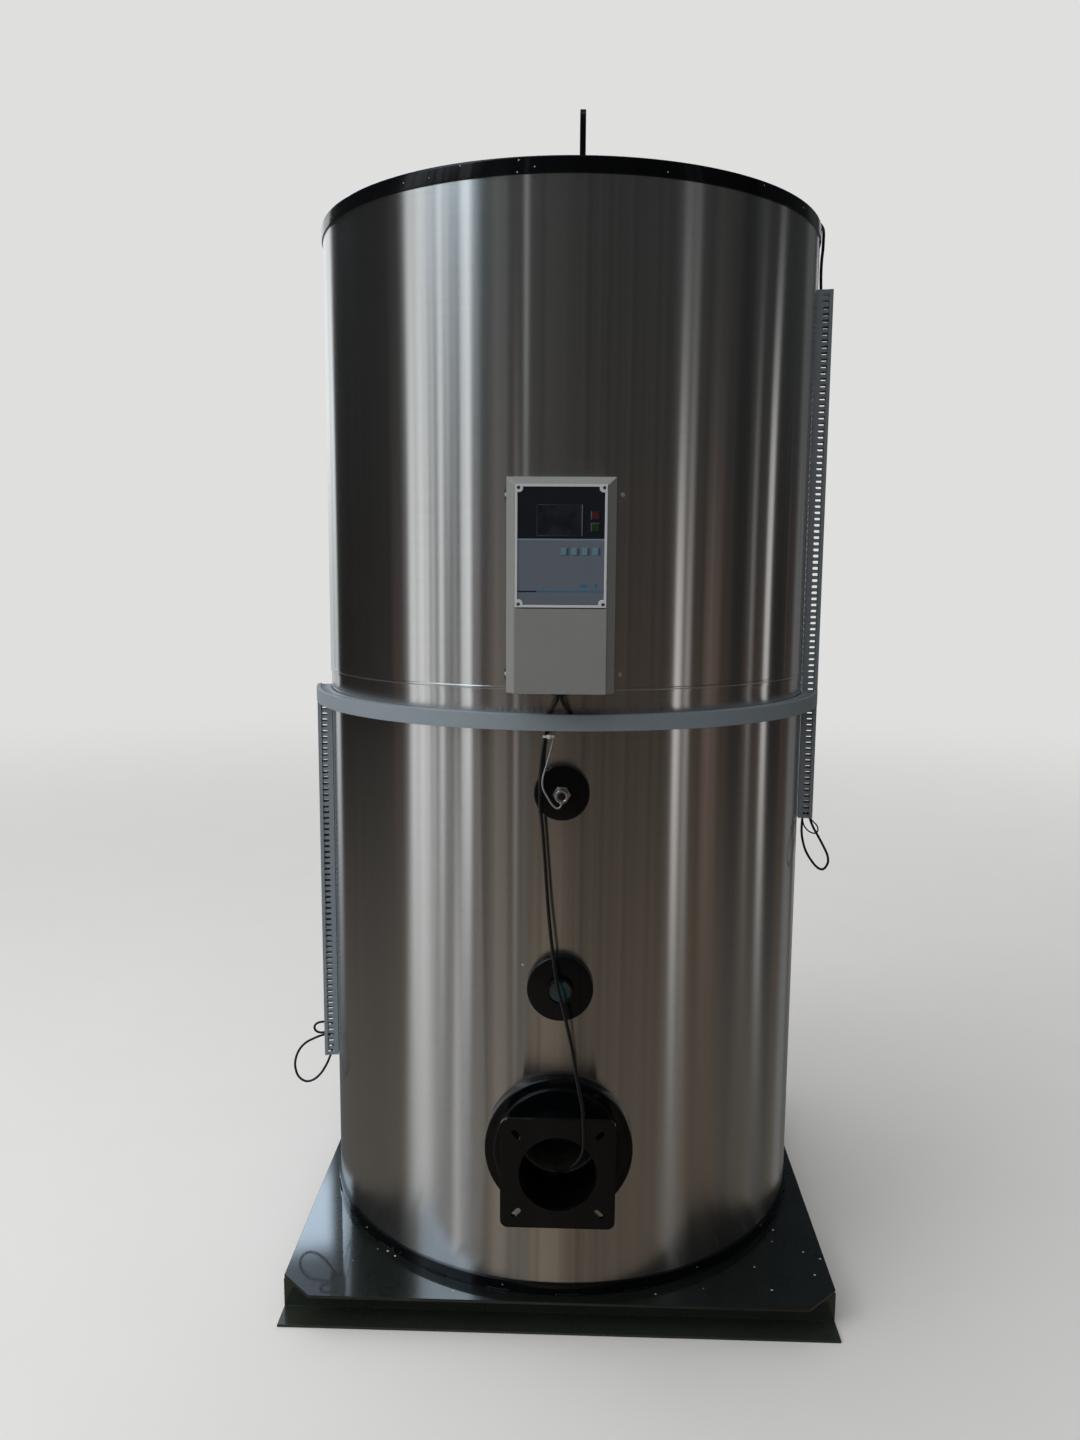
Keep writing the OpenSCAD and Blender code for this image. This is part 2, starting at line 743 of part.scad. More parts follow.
module lifting_lugs() {
  r = lug_w / 2;
  color(black_paint) for (y = [-lug_offset, lug_offset])
    translate([lug_x - lug_t / 2, y, top_z]) rotate([90, 0, 90]) difference() {
      union() {
        translate([-r, 0, 0]) cube([lug_w, lug_h - r, lug_t]);
        translate([0, lug_h - r, 0]) cylinder(r = r, h = lug_t);
      }
      translate([0, lug_h - r, -over]) cylinder(d = lug_eye, h = lug_t + 2 * over);
    }
}

module top_gland() {
  color(cord_black) translate([gland_spot[0], gland_spot[1], top_z]) cylinder(d = gland_d, h = gland_h);
}

module relief_socket() {
  color(black_paint) translate([0, relief_offset, top_z]) difference() {
    cylinder(d = relief_d, h = relief_h);
    translate([0, 0, relief_floor]) cylinder(d = relief_bore, h = relief_h);
  }
}

// Rear nozzles

supply_z = seam_z + supply_h;
return_z = floor_z + return_h;
nozzle_face = shell_r + nozzle_reach;

module nozzle_pipe(z) {
  color(black_paint) difference() {
    rear_rod(z, nozzle_d, pocket_y(nozzle_d), nozzle_face);
    rear_rod(z, nozzle_bore, pocket_y(nozzle_d) - over, nozzle_face + over);
  }
}

module supply_nozzle() { nozzle_pipe(supply_z); }
module return_nozzle() { nozzle_pipe(return_z); }

// A flange that slips over a nozzle's pipe, with its bolt holes off the vertical
module slip_flange(z) {
  back = nozzle_face - flange_t;
  color(black_paint) difference() {
    rear_rod(z, flange_d, back, nozzle_face);
    rear_rod(z, nozzle_d + 2 * clear, back - over, nozzle_face + over);
    for (i = [0:flange_bolts - 1]) translate([0, 0, z]) rotate([0, (i + 0.5) * 360 / flange_bolts, 0])
      translate([flange_pcd / 2, nozzle_face + over, 0]) rotate([90, 0, 0])
        cylinder(d = flange_hole, h = flange_t + 2 * over);
  }
}

module supply_flange() { slip_flange(supply_z); }
module return_flange() { slip_flange(return_z); }

// Plates on the jacket round the two nozzles
module nozzle_plates() {
  back = shell_r + clear;
  color(black_paint) for (z = [supply_z, return_z]) difference() {
    rear_rod(z, nozzle_collar_d, back, back + nozzle_collar_t);
    rear_rod(z, nozzle_d + 2 * clear, back - over, back + nozzle_collar_t + over);
  }
}

module drain_socket() {
  color(black_paint) difference() {
    rear_rod(floor_z + drain_h, drain_d, pocket_y(drain_d), shell_r + drain_reach);
    rear_rod(floor_z + drain_h, drain_bore, shell_r, shell_r + drain_reach + over);
  }
}

// Cords: one tube each, swept along a smooth curve through chosen points

function unit(v) = v / norm(v);

function between(a, b, c, d, t) = 0.5 * (2 * b + (c - a) * t
  + (2 * a - 5 * b + 4 * c - d) * t * t + (3 * b - a - 3 * c + d) * t * t * t);

// The route with steps - 1 more points between each pair of chosen ones
function smooth(route, steps) = let(last = len(route) - 1) concat(
  [for (i = [0:last - 1]) for (j = [0:steps - 1])
    between(route[max(i - 1, 0)], route[i], route[i + 1], route[min(i + 2, last)], j / steps)],
  [route[last]]);

// A tube of diameter d along the points; side is a direction that the route never takes
module cord(points, d, side) {
  sides = 8;
  last = len(points) - 1;
  rings = [for (i = [0:last]) let(
      t = unit(points[min(i + 1, last)] - points[max(i - 1, 0)]),
      a = unit(cross(t, side)),
      b = cross(a, t))
    for (k = [0:sides - 1]) points[i] + d / 2 * (cos(k * 360 / sides) * a + sin(k * 360 / sides) * b)];
  walls = [for (i = [0:last - 1]) for (k = [0:sides - 1]) let(
      n = (k + 1) % sides,
      p = i * sides)
    for (f = [[p + k, p + n, p + sides + k], [p + n, p + sides + n, p + sides + k]]) f];
  ends = [[for (k = [sides - 1:-1:0]) k], [for (k = [0:sides - 1]) last * sides + k]];
  polyhedron(points = rings, faces = concat(walls, ends), convexity = 8);
}

// The leads from the box to the ring duct, from the jacket's front and the ring's top
left_box_lead = [[-9, -52, box_gap - grommet_h], [-9, -52, 30], [-13, -44, 20], [-19, -25, 8],
  [-22, -14, -1], [-22, -12, -12]];
right_box_lead = [[-1, -52, box_gap - grommet_h], [-1, -52, 30], [3, -44, 20], [10, -25, 8],
  [14, -14, -1], [14, -12, -12]];

top_lead_route = [[502, -71, 1940], [501, -72, 1957], [499, -76, 1985], [498, -80, 2010], [500, -82, 2038],
  [500, -82, 2060], [495, -80, 2076], [482, -77, 2082], [466, -74, 2076], [454, -72, 2064], [450, -72, 2052]];

burner_route = [[-23, -505, 1142], [-24, -506, 1130], [-29, -511, 1118], [-34, -518, 1085], [-37, -524, 1046],
  [-37, -526, 1000], [-33, -528, 965], [-28, -532, 905], [-21, -541, 817], [-13, -552, 747], [-5, -563, 697],
  [3, -570, 665], [13, -578, 627], [24, -588, 580], [33, -598, 529], [41, -606, 490], [43, -608, 465],
  [44, -608, 440], [44, -608, 424], [42, -604, 408], [36, -596, 390], [24, -584, 370], [8, -568, 352],
  [-8, -548, 332], [-18, -522, 308], [-20, -490, 297]];

sensor_route = [[-15, -504, 1142], [-15, -506, 1130], [-16, -514, 1112], [-21, -524, 1090], [-28, -533, 1067],
  [-33, -538, 1046], [-31, -539, 1030], [-22, -539, 1013], [-13, -539, 1003], [-6, -539, 998],
  [-1, -539, 1000], [0, -539, 1006]];

left_route = [[-507, -71, 356], [-511, -72, 338], [-516, -74, 324], [-523, -77, 308], [-535, -80, 289],
  [-551, -82, 275], [-569, -82, 271], [-585, -80, 281], [-593, -76, 301], [-592, -71, 321], [-584, -66, 339],
  [-571, -61, 352], [-556, -56, 359], [-541, -51, 364], [-527, -46, 366.5], [-517, -47.5, 368.5],
  [-511.3, -55, 370], [-508.9, -68, 370.5]];

left_small_route = [[-509.3, -69, 395], [-512, -59, 395], [-516.5, -50, 395.5], [-526, -46.5, 395.5],
  [-541, -48, 394.7], [-550.3, -50, 391], [-554, -51, 383.3], [-550.3, -52, 375.6], [-541, -52, 372],
  [-529, -50.5, 372], [-521.5, -53, 371], [-517.3, -59.5, 370], [-514.8, -69, 370]];

right_route = [[508, -74, 900], [505, -74, 878], [505, -76, 846], [513, -80, 814], [528, -83, 789],
  [541, -85, 776], [552, -86, 775], [560, -86, 788], [559, -84, 804], [550, -80, 824], [538, -77, 846],
  [528, -74, 864], [521, -72, 883], [519, -71, 900]];

right_thin_route = [[506, -79, 900], [504, -82, 882], [507, -88, 868], [516, -93, 858], [527, -94, 854],
  [535, -90, 858], [535, -84, 867], [527, -80, 876], [518, -77, 886], [513, -76, 900]];

module box_leads() {
  color(cord_black) translate([0, -shell_r, duct_top_z]) {
    cord(smooth(left_box_lead, 2), box_lead_d, [1, 0, 0]);
    cord(smooth(right_box_lead, 2), box_lead_d, [1, 0, 0]);
  }
}

module top_lead() { color(cord_black) cord(smooth(top_lead_route, 2), top_lead_d, [0, 1, 0]); }
module burner_lead() { color(cord_black) cord(smooth(burner_route, 2), burner_lead_d, [1, 0, 0.2]); }
module sensor_lead() { color([0.7, 0.7, 0.7]) cord(smooth(sensor_route, 2), sensor_lead_d, [0, 1, 0]); }
module left_loop() { color(cord_black) cord(smooth(left_route, 2), spare_d, [1, 1, 0]); }
module left_small_loop() { color(cord_black) cord(smooth(left_small_route, 2), spare_d, [1, 1, 0]); }
module right_loop() { color(cord_black) cord(smooth(right_route, 2), spare_d, [0, 1, 0]); }
module right_thin_loop() { color(cord_black) cord(smooth(right_thin_route, 2), sensor_lead_d, [0, 1, 0]); }

base_plate();
cross_angles();
side_angles();
skirt();
boiler_vessel();
lower_jacket();
upper_jacket();
top_rim();
top_plate();
burner_collar();
burner_tube();
burner_plate();
sight_collar();
sight_pipe();
sight_glass();
sensor_collar();
sensor_fitting();
ring_duct();
ring_duct_cover();
left_duct();
left_duct_cover();
right_duct();
right_duct_cover();
box_rails();
control_box();
control_panel();
control_lower_cover();
control_display();
stop_button();
start_button();
control_keys();
box_grommet();
flue_collar();
lifting_lugs();
relief_socket();
top_gland();
supply_nozzle();
return_nozzle();
supply_flange();
return_flange();
nozzle_plates();
drain_socket();
box_leads();
top_lead();
burner_lead();
sensor_lead();
left_loop();
left_small_loop();
right_loop();
right_thin_loop();
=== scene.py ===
"""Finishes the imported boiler: cladding, enamel, ducts, control box, leads and small fittings.

It is laid out as an add-on and is run as a script. Lengths are in metres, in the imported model's frame:
the origin lies on the floor under the boiler's axis, and the control box faces -Y.
"""

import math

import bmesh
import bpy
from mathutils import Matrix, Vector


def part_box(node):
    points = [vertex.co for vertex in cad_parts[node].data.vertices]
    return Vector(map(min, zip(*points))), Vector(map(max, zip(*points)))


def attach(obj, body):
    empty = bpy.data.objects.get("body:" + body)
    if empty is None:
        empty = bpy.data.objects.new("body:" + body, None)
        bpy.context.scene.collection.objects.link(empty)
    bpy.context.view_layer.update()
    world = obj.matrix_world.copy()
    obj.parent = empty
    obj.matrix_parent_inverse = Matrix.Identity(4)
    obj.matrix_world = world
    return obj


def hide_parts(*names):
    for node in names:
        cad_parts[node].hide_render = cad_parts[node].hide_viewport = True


bl_info = {
    "name": "Vertical Boiler",
    "version": (1, 0, 0),
    "blender": (4, 5, 0),
    "location": "3D View > Sidebar > Boiler",
    "description": "Dresses a packed vertical boiler with its finishes, leads and small fittings",
    "category": "Object",
}

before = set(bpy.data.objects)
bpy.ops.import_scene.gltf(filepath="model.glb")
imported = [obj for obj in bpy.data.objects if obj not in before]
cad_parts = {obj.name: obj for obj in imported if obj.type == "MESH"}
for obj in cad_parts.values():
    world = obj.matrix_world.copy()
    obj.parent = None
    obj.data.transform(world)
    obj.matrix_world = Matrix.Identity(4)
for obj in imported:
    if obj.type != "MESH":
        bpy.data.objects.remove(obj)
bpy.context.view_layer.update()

MM = 0.001
BODY = "root"


def box_mm(node):
    """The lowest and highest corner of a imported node, in millimetres."""
    return tuple(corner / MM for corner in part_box(node))


# The camera, found from the photograph's own perspective
CAMERA_PLACE = (0.0245, -2.4069, 1.4100)
CAMERA_YAW = math.radians(1.909)
CAMERA_PITCH = math.radians(-7.9095)
CAMERA_ROLL = math.radians(0.3698)
CAMERA_LENS = 27.87
SENSOR_LONG_SIDE = 36.0

# What the polished sheets mirror: azimuth from +X, half width, soft edge (degrees), brightness above the
# horizon, just below it and near the feet, warmth from 0 (cool) to 1, how far up its middle part reaches
STRIPS = (
    (157.5, 26, 4, 0.018, 0.014, 0.10, 0.6, 0),
    (117, 14, 3, 0.95, 0.55, 0.10, 0.0, 0),
    (-168.5, 1.5, 2, 0.10, 0.12, 0.24, 0.1, 0),
    (-160.5, 6.0, 2, 0.78, 0.80, 0.58, 0.1, 0),
    (-152.3, 1.2, 1, 0.56, 0.56, 0.30, 0.1, 0),
    (-148.2, 1.8, 1, 0.70, 0.68, 0.26, 0.1, 0),
    (-144.3, 1.2, 1, 0.56, 0.22, 0.26, 0.2, 0),
    (-141.0, 1.3, 1, 0.24, 0.22, 0.66, 0.2, 0),
    (-135.3, 2.6, 1, 0.74, 0.86, 0.22, 0.1, 0),
    (-130.0, 1.6, 2, 0.12, 0.16, 0.20, 0.5, 0),
    (-120, 4, 3, 0.10, 0.15, 0.22, 0.7, 0),
    (-112, 0.8, 1, 0.04, 0.38, 0.18, 0.4, 0),
    (-108, 0.8, 1, 0.46, 0.08, 0.18, 0.1, 0),
    (-97, 9, 8, 0.045, 0.05, 0.19, 1.0, 0),
    (-37.6, 1.8, 1.4, 0.11, 0.90, 0.22, 0.3, 0),
    (-33.0, 1.6, 1.6, 0.14, 0.42, 0.15, 0.4, 0),
    (-20, 4, 4, 0.04, 0.14, 0.10, 1.0, 0),
    (-5, 4, 3, 0.02, 0.02, 0.08, 0.4, 0),
    (4.5, 1.4, 2, 0.05, 0.20, 0.10, 0.2, 6),
    (16.5, 2.2, 1.4, 0.03, 0.60, 0.14, 0.2, 7),
    (27, 6, 3, 0.03, 0.02, 0.07, 0.3, 0),
    (50, 6, 6, 0.10, 0.14, 0.20, 0.1, 0),
    (68, 4, 5, 0.50, 0.40, 0.14, 0.2, 0),
    (86, 5, 4, 0.30, 0.24, 0.14, 0.3, 0),
)
DARK_LEVELS = (0.033, 0.047, 0.10)
# What the base plate mirrors from higher up: azimuth, half width, from and to elevation (degrees),
# brightness. They lie over each other in this order.
OPENINGS = (
    (74, 29, 24, 70, 0.03),
    (-148, 15, 26, 70, 3.2),
    (119.25, 16.15, 24, 70, 0.5),
    (119.25, 16.15, 26, 30.6, 2.3),
    (119.25, 16.15, 29.2, 33.25, 4.7),
)
OPENING_LIGHT = (0.67, 0.83, 1.0)
HORIZON_TOP = 9.0
HORIZON_MIDDLE = -6.0
HORIZON_BLEND = 2.0
HORIZON_FOOT = -26.0
COOL_LIGHT = (0.92, 0.97, 1.0)
# The warm tone above the horizon, just below it and near the feet
WARM_LIGHTS = ((0.90, 1.0, 1.02), (1.0, 0.74, 0.62), (1.0, 0.84, 0.66))
GROUND_LIGHT = (1.0, 0.94, 0.86)
# The soft light by the height and the side that it comes from: from, to, strength at each
LIGHT_BY_HEIGHT = (-0.05, 0.9, 0.42, 1.12)
LIGHT_BY_SIDE = (-0.9, 0.9, 1.7, 0.06)
LAMP_PLACE = (-3.4, -2.2, 3.2)
LAMP_AIM = (0, 0, 1.0)
LAMP_SIZE = 3.0

# Routes of the leads, in millimetres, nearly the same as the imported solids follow
TOP_LEAD = (
    (502, -71, 1940), (501, -72, 1957), (499, -76, 1985), (498.6, -80, 2010), (499.8, -82, 2032),
    (500, -82, 2048), (500, -82, 2060.5), (498.1, -81.6, 2070.1), (492.7, -80.5, 2078.2),
    (484.6, -78.9, 2083.6), (475, -77, 2085.5), (465.4, -75.1, 2083.6), (457.3, -73.5, 2078.2),
    (451.9, -72.4, 2070.1), (450, -72, 2060.5), (450, -72, 2052),
)
BURNER_LEAD = (
    (-23, -505, 1142), (-24, -506, 1130), (-29, -511, 1118), (-34, -518, 1085), (-37, -524, 1046),
    (-37, -526, 1000), (-33, -528, 965), (-28, -532, 905), (-21, -541, 817), (-13, -552, 747),
    (-5, -563, 697), (3, -570, 665), (13, -578, 627), (24, -588, 580), (33, -598, 529),
    (41, -606, 490), (43, -608, 465), (44, -608, 440), (44, -608, 424), (42, -604, 408),
    (36, -596, 390), (24, -584, 370), (8, -568, 352), (-8, -548, 332), (-18, -522, 308),
    (-20, -490, 297),
)
SENSOR_LEAD = (
    (-15, -504, 1142), (-15, -506, 1130), (-16, -514, 1112), (-21, -524, 1090), (-28, -533, 1067),
    (-33, -538, 1046), (-31, -539, 1030), (-22, -539, 1013), (-14.5, -539, 1002.5), (-8, -539, 998),
    (-2.4, -539, 1000), (0, -539, 1006),
)
LEFT_LOOP = (
    (-507, -71, 356), (-511, -72, 338), (-516, -74, 324), (-523, -77, 308), (-535, -80, 289),
    (-551, -82, 275), (-569, -82, 271), (-585, -80, 281), (-593, -76, 301), (-592, -71, 321),
    (-584, -66, 339), (-571, -61, 352), (-556, -56, 359), (-541, -51, 364), (-527, -46, 366.5),
    (-517, -47.5, 368.5), (-511.3, -55, 370), (-508.9, -68, 370.5),
)
LEFT_SMALL_LOOP = (
    (-509.3, -69, 395), (-512, -59, 395), (-516.5, -50, 395.5), (-526, -46.5, 395.5),
    (-541, -48, 394.7), (-550.3, -50, 391), (-554, -51, 383.3), (-550.3, -52, 375.6),
    (-541, -52, 372), (-529, -50.5, 372), (-521.5, -53, 371), (-517.3, -59.5, 370), (-514.8, -69, 370),
)
RIGHT_LOOP = (
    (508, -74, 900), (505, -74, 878), (505, -76, 846), (513, -80, 814), (528, -83, 789),
    (541, -85, 776), (552, -86, 775), (560, -86, 788), (559, -84, 804), (550, -80, 824),
    (538, -77, 846), (528, -74, 864), (521, -72, 883), (519, -71, 900),
)
RIGHT_THIN_LOOP = (
    (506, -79, 900), (504, -82, 882), (507, -88, 868), (516, -93, 858), (527, -94, 854),
    (535, -90, 858), (535, -84, 867), (527, -80, 876), (518, -77, 886), (513, -76, 900),
)
LEFT_BOX_LEAD = (
    (-9, -552, 1195), (-9, -552, 1188), (-13, -544, 1178), (-19, -525, 1166), (-22, -514, 1157),
    (-22, -512, 1146),
)
RIGHT_BOX_LEAD = (
    (-1, -552, 1195), (-1, -552, 1188), (3, -544, 1178), (10, -525, 1166), (14, -514, 1157),
    (14, -512, 1146),
)
ROUTE_STEPS = 6
LEAD_SIDES = 4

# The tie round the burner lead and the sensor lead, in millimetres: the centre of each lead, the radius
# of the strap there and the azimuth where its half turn starts
TIE_TURNS = (((-15.8, -514.0), 1.9, -72), ((-29.3, -511.2), 3.6, 108))
TIE_HEAD = (((-26, -519.5, 1115), (-20, -514.5, 1122)), ((-24.5, -527, 1117), (-21.5, -518, 1118.2)))

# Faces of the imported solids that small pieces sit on, in millimetres. Screws and rivets sink in a little,
# and the ring of the sensor lies where the head's rounded edge begins.
SUNK = 0.1
SENSOR_EDGE = 0.6
PLATE_TOP = box_mm("base_plate")[1].z
SKIRT_RADIUS = box_mm("skirt")[1].x
RIM_RADIUS = box_mm("top_rim")[1].x
LOWER_SHEET_RADIUS = box_mm("lower_jacket")[1].y
UPPER_SHEET_RADIUS = box_mm("upper_jacket")[1].y
SENSOR_FACE = box_mm("sensor_fitting")[0].y + SENSOR_EDGE
SENSOR_HEIGHT = sum(box_mm("sensor_collar"), Vector((0, 0, 0))).z / 2
RAIL_FACE = box_mm("box_rails")[0].y + SUNK
PANEL_FACE = box_mm("control_panel")[0].y + SUNK

# Drops of paint, in millimetres: on the base plate as X and Y, on the skirt and rim as height and azimuth
PLATE_DROPS = (
    (437, -276), (484, -348), (513, -369), (492, -420), (402, -469), (-358, -375), (-400, -414),
    (-337, -381), (-320, -396), (-195, -496), (380, -400), (274, -470), (428, -316), (183, -490),
    (-470, -300), (-449, 120), (455, 180), (-380, 452), (210, 498), (-90, 506),
)
SKIRT_DROPS = ((78, -101.8), (74, -141), (80, -58))
# On the rim the drops are real paint bumps, and their pale tone is partly a painted highlight for the glints
# on them.
RIM_DROPS_AND_GLINTS = (
    (2050.5, -123.8), (2049.4, -117.6), (2060.2, -110.7), (2059.6, -99.1), (2041.4, -99.4),
    (2048.4, -96.1), (2049.5, -151.9), (2064.4, -140.7), (2047, -71), (2058, -48),
)

# The welds between the skirt and the plate: stitches of overlapping drops, by azimuth
WELD_STITCHES = 24
WELD_DROPS = 12
WELD_STEP = 0.42
WELD_RADIUS = SKIRT_RADIUS + 0.3
WELD_HEIGHT = PLATE_TOP + 0.6

# Rivets of the lap strips where the sheets close, in millimetres and degrees, and the one on the front
LAP_THICKNESS = 1.5
SEAM_AZIMUTH = 62.0
SEAM_PITCH = 90
UPPER_SEAM = (1230, 2020)
LOWER_SEAM = (120, 1180)
FRONT_RIVET = ((-67.1, -493.9, 701.8), (-0.134, -0.991, 0.0))

# The bead rolled round the jacket at the step between the sheets, in millimetres
BEAD_HEIGHT = 1199.0
BEAD_HALF = 3.0
BEAD_PROUD = 0.35
BEAD_SINK = 0.4
BEAD_ROOT = 1.4
BEAD_STEPS = 240
BEAD_SIDES = 6

# The controller's panel, in millimetres: its films, its lines and the bars beside them
FILM_SPLIT = (1451, 1452)
FILM_MARGIN = 4
PALE_LINE = (1449.4, 1451.6)
BLUE_LINE = (1367, 1368.8)
BLACK_LINE = (1366.8, 1369)
BLACK_LINE_END = -43
BLUE_BARS = ((27, 38, 1374.5, 1379.5), (50.5, 54.5, 1374.5, 1381))
BEZEL = 0.9
KEY_PITCH = 17
# Where the painted shade lies on each key, from the start of that key along the row
KEY_PAINTED_SHADE = (8.4, 11.6)


class Tree:
    """Adds nodes to a shader or geometry tree and joins them."""

    def __init__(self, tree):
        self.tree = tree

    def link(self, value, socket):
        """Joins an output to an input."""
        self.tree.links.new(value, socket)

    def add(self, kind, inputs=None, **settings):
        """A new node with its settings, and its inputs set to values or joined to sockets."""
        node = self.tree.nodes.new(kind)
        for name, value in settings.items():
            setattr(node, name, value)
        for key, value in (inputs or {}).items():
            if isinstance(value, bpy.types.NodeSocket):
                self.link(value, node.inputs[key])
            else:
                node.inputs[key].default_value = value
        return node

    def math(self, operation, *values, clamp=False):
        """The output of a Math node."""
        inputs = dict(enumerate(values))
        return self.add("ShaderNodeMath", inputs, operation=operation, use_clamp=clamp).outputs[0]

    def ramp(self, value, low, high, to_low=0.0, to_high=1.0, smooth=True):
        """Value carried from the range low to high to the range to_low to to_high, and clamped."""
        kind = "SMOOTHSTEP" if smooth else "LINEAR"
        inputs = {"Value": value, "From Min": low, "From Max": high, "To Min": to_low, "To Max": to_high}
        return self.add("ShaderNodeMapRange", inputs, interpolation_type=kind).outputs["Result"]

    def mix(self, share, first, second):
        """A colour between two colours."""
        return self.add("ShaderNodeMix", {0: share, 6: first, 7: second}, data_type="RGBA").outputs[2]

    def object_place(self, stretch=(1, 1, 1)):
        """Object coordinates, stretched."""
        place = self.add("ShaderNodeTexCoord").outputs["Object"]
        return self.add("ShaderNodeMapping", {"Vector": place, "Scale": stretch}).outputs["Vector"]

    def noise(self, place, scale, detail=2.0, roughness=0.5):
        """The value of a noise texture."""
        inputs = {"Vector": place, "Scale": scale, "Detail": detail, "Roughness": roughness}
        return self.add("ShaderNodeTexNoise", inputs).outputs[0]


def colour(values, level=1.0):
    """A colour at a level of brightness, with its alpha."""
    return (*(level * value for value in values), 1.0)


# Shader groups that several finishes share

def shader_group(name, inputs, output):
    """A new shader node group, with its inputs as (name, default) and its output's name."""
    group = bpy.data.node_groups.new(name, "ShaderNodeTree")
    for label, default in inputs:
        socket = group.interface.new_socket(label, in_out="INPUT", socket_type="NodeSocketFloat")
        socket.default_value = default
    group.interface.new_socket(output, in_out="OUTPUT", socket_type="NodeSocketFloat")
    tree = Tree(group)
    return tree, tree.add("NodeGroupInput").outputs, tree.add("NodeGroupOutput").inputs


def make_fine_grain():
    """A fine mottle for moulded, sprayed and cast surfaces."""
    tree, given, out = shader_group("fine_grain", (("Scale", 200.0), ("Softness", 0.5)), "Value")
    fine = tree.noise(tree.object_place(), given["Scale"], 3.0, 0.6)
    broad = tree.noise(tree.object_place(), tree.math("MULTIPLY", given["Scale"], 0.13), 2.0)
    blended = tree.add("ShaderNodeMix", {0: given["Softness"], 2: fine, 3: broad}, data_type="FLOAT")
    tree.link(blended.outputs[0], out[0])


def make_settled_dust():
    """Dust that lies thickest on faces that look up, in soft patches."""
    tree, given, out = shader_group("settled_dust", (("Amount", 0.3), ("Scale", 6.0)), "Mask")
    normal = tree.add("ShaderNodeNewGeometry").outputs["Normal"]
    up = tree.add("ShaderNodeSeparateXYZ", {0: normal}).outputs["Z"]
    facing = tree.ramp(up, 0.1, 1.0, 0.12, 1.0)
    patches = tree.ramp(tree.noise(tree.object_place(), given["Scale"], 5.0, 0.65), 0.35, 0.75)
    grit = tree.ramp(tree.noise(tree.object_place(), 420.0, 2.0), 0.42, 0.62, 0.5, 1.0)
    lying = tree.math("MULTIPLY", tree.math("MULTIPLY", facing, patches), grit)
    tree.link(tree.math("MULTIPLY", lying, given["Amount"], clamp=True), out[0])


def make_flecks():
    """Scattered small dots, such as drops of paint."""
    tree, given, out = shader_group("flecks", (("Scale", 30.0), ("Size", 0.06), ("Share", 0.2)), "Mask")
    cells = tree.add("ShaderNodeTexVoronoi", {"Vector": tree.object_place(), "Scale": given["Scale"]})
    near = tree.math("LESS_THAN", cells.outputs["Distance"], given["Size"])
    pick = tree.add("ShaderNodeSeparateColor", {0: cells.outputs["Color"]}).outputs[0]
    chosen = tree.math("LESS_THAN", pick, given["Share"])
    tree.link(tree.math("MULTIPLY", near, chosen), out[0])


def make_brushed_lines():
    """Hair lines that run round the sheet, each a little over a millimetre high."""
    tree, given, out = shader_group("brushed_lines", (("Lines", 700.0), ("Run", 2.5)), "Value")
    place = tree.add("ShaderNodeTexCoord").outputs["Object"]
    run = tree.add("ShaderNodeCombineXYZ", {0: given["Run"], 1: given["Run"], 2: given["Lines"]}).outputs[0]
    stretched = tree.add("ShaderNodeVectorMath", {0: place, 1: run}, operation="MULTIPLY").outputs[0]
    tree.link(tree.noise(stretched, 1.0, 4.0, 0.7), out[0])


def make_smudges():
    """Large faint patches where a polished sheet was handled."""
    tree, given, out = shader_group("smudges", (("Scale", 4.0),), "Mask")
    broad = tree.noise(tree.object_place((1, 1, 0.7)), given["Scale"], 4.0, 0.7)
    fine = tree.noise(tree.object_place((1, 1, 3)), 60.0, 3.0)
    marks = tree.math("MULTIPLY", tree.ramp(broad, 0.48, 0.72), tree.ramp(fine, 0.3, 0.7, 0.4, 1.0))
    tree.link(marks, out[0])


SHADER_GROUPS = (make_fine_grain, make_settled_dust, make_flecks, make_brushed_lines, make_smudges)


def use_group(tree, name, **values):
    """The output of a shared shader group, with this material's values."""
    node = tree.add("ShaderNodeGroup", node_tree=bpy.data.node_groups[name])
    for label, value in values.items():
        node.inputs[label.capitalize()].default_value = value
    return node.outputs[0]


# Finishes

MATERIALS = {}

# The material that each slot of the record takes, and the slot of each further material
SLOT_MATERIALS = {
    "stainless": "brushed_stainless", "display": "display_glass", "red_button": "button_red",
    "green_button": "button_green", "blue_keys": "key_blue",
}

# Moulded plastics and rubber: colour, roughness, and where they differ the grain's depth, the dust, the
# grain's scale and the coat
MOULDED = {
    "panel_frame": ((0.62, 0.64, 0.68), 0.36, 0.00008, 0.04, 420.0),
    "panel_black": ((0.008, 0.011, 0.018), 0.34),
    "panel_blue_grey": ((0.135, 0.155, 0.195), 0.40, 0.00003, 0.03),
    "panel_pale_blue": ((0.16, 0.28, 0.38), 0.40),
    "panel_blue": ((0.02, 0.16, 0.32), 0.36),
    "key_blue": ((0.13, 0.24, 0.31), 0.38, 0.00004),
    # The darker blue of the painted shade on the keys
    "key_painted_shade": ((0.035, 0.09, 0.13), 0.38, 0.00004),
    "button_red": ((0.075, 0.010, 0.013), 0.35, 0.00004),
    "button_green": ((0.012, 0.040, 0.012), 0.35, 0.00004),
    "black_rubber": ((0.004, 0.004, 0.005), 0.36, 0.00008, 0.008, 350.0, 0.12),
    "white_nylon": ((0.80, 0.80, 0.76), 0.45, 0.00006, 0.1),
    "pale_drops": ((0.46, 0.46, 0.43), 0.5, 0.00005),
}


def surface(name, **plain):
    """A new material's tree and its Principled shader, with plain numbers on the shader's own sockets."""
    material = bpy.data.materials.new(name)
    material.use_nodes = True
    MATERIALS[name] = material
    shader = material.node_tree.nodes["Principled BSDF"]
    for label, value in plain.items():
        shader.inputs[label.replace("_", " ").title().replace("Ior", "IOR")].default_value = value
    return Tree(material.node_tree), shader


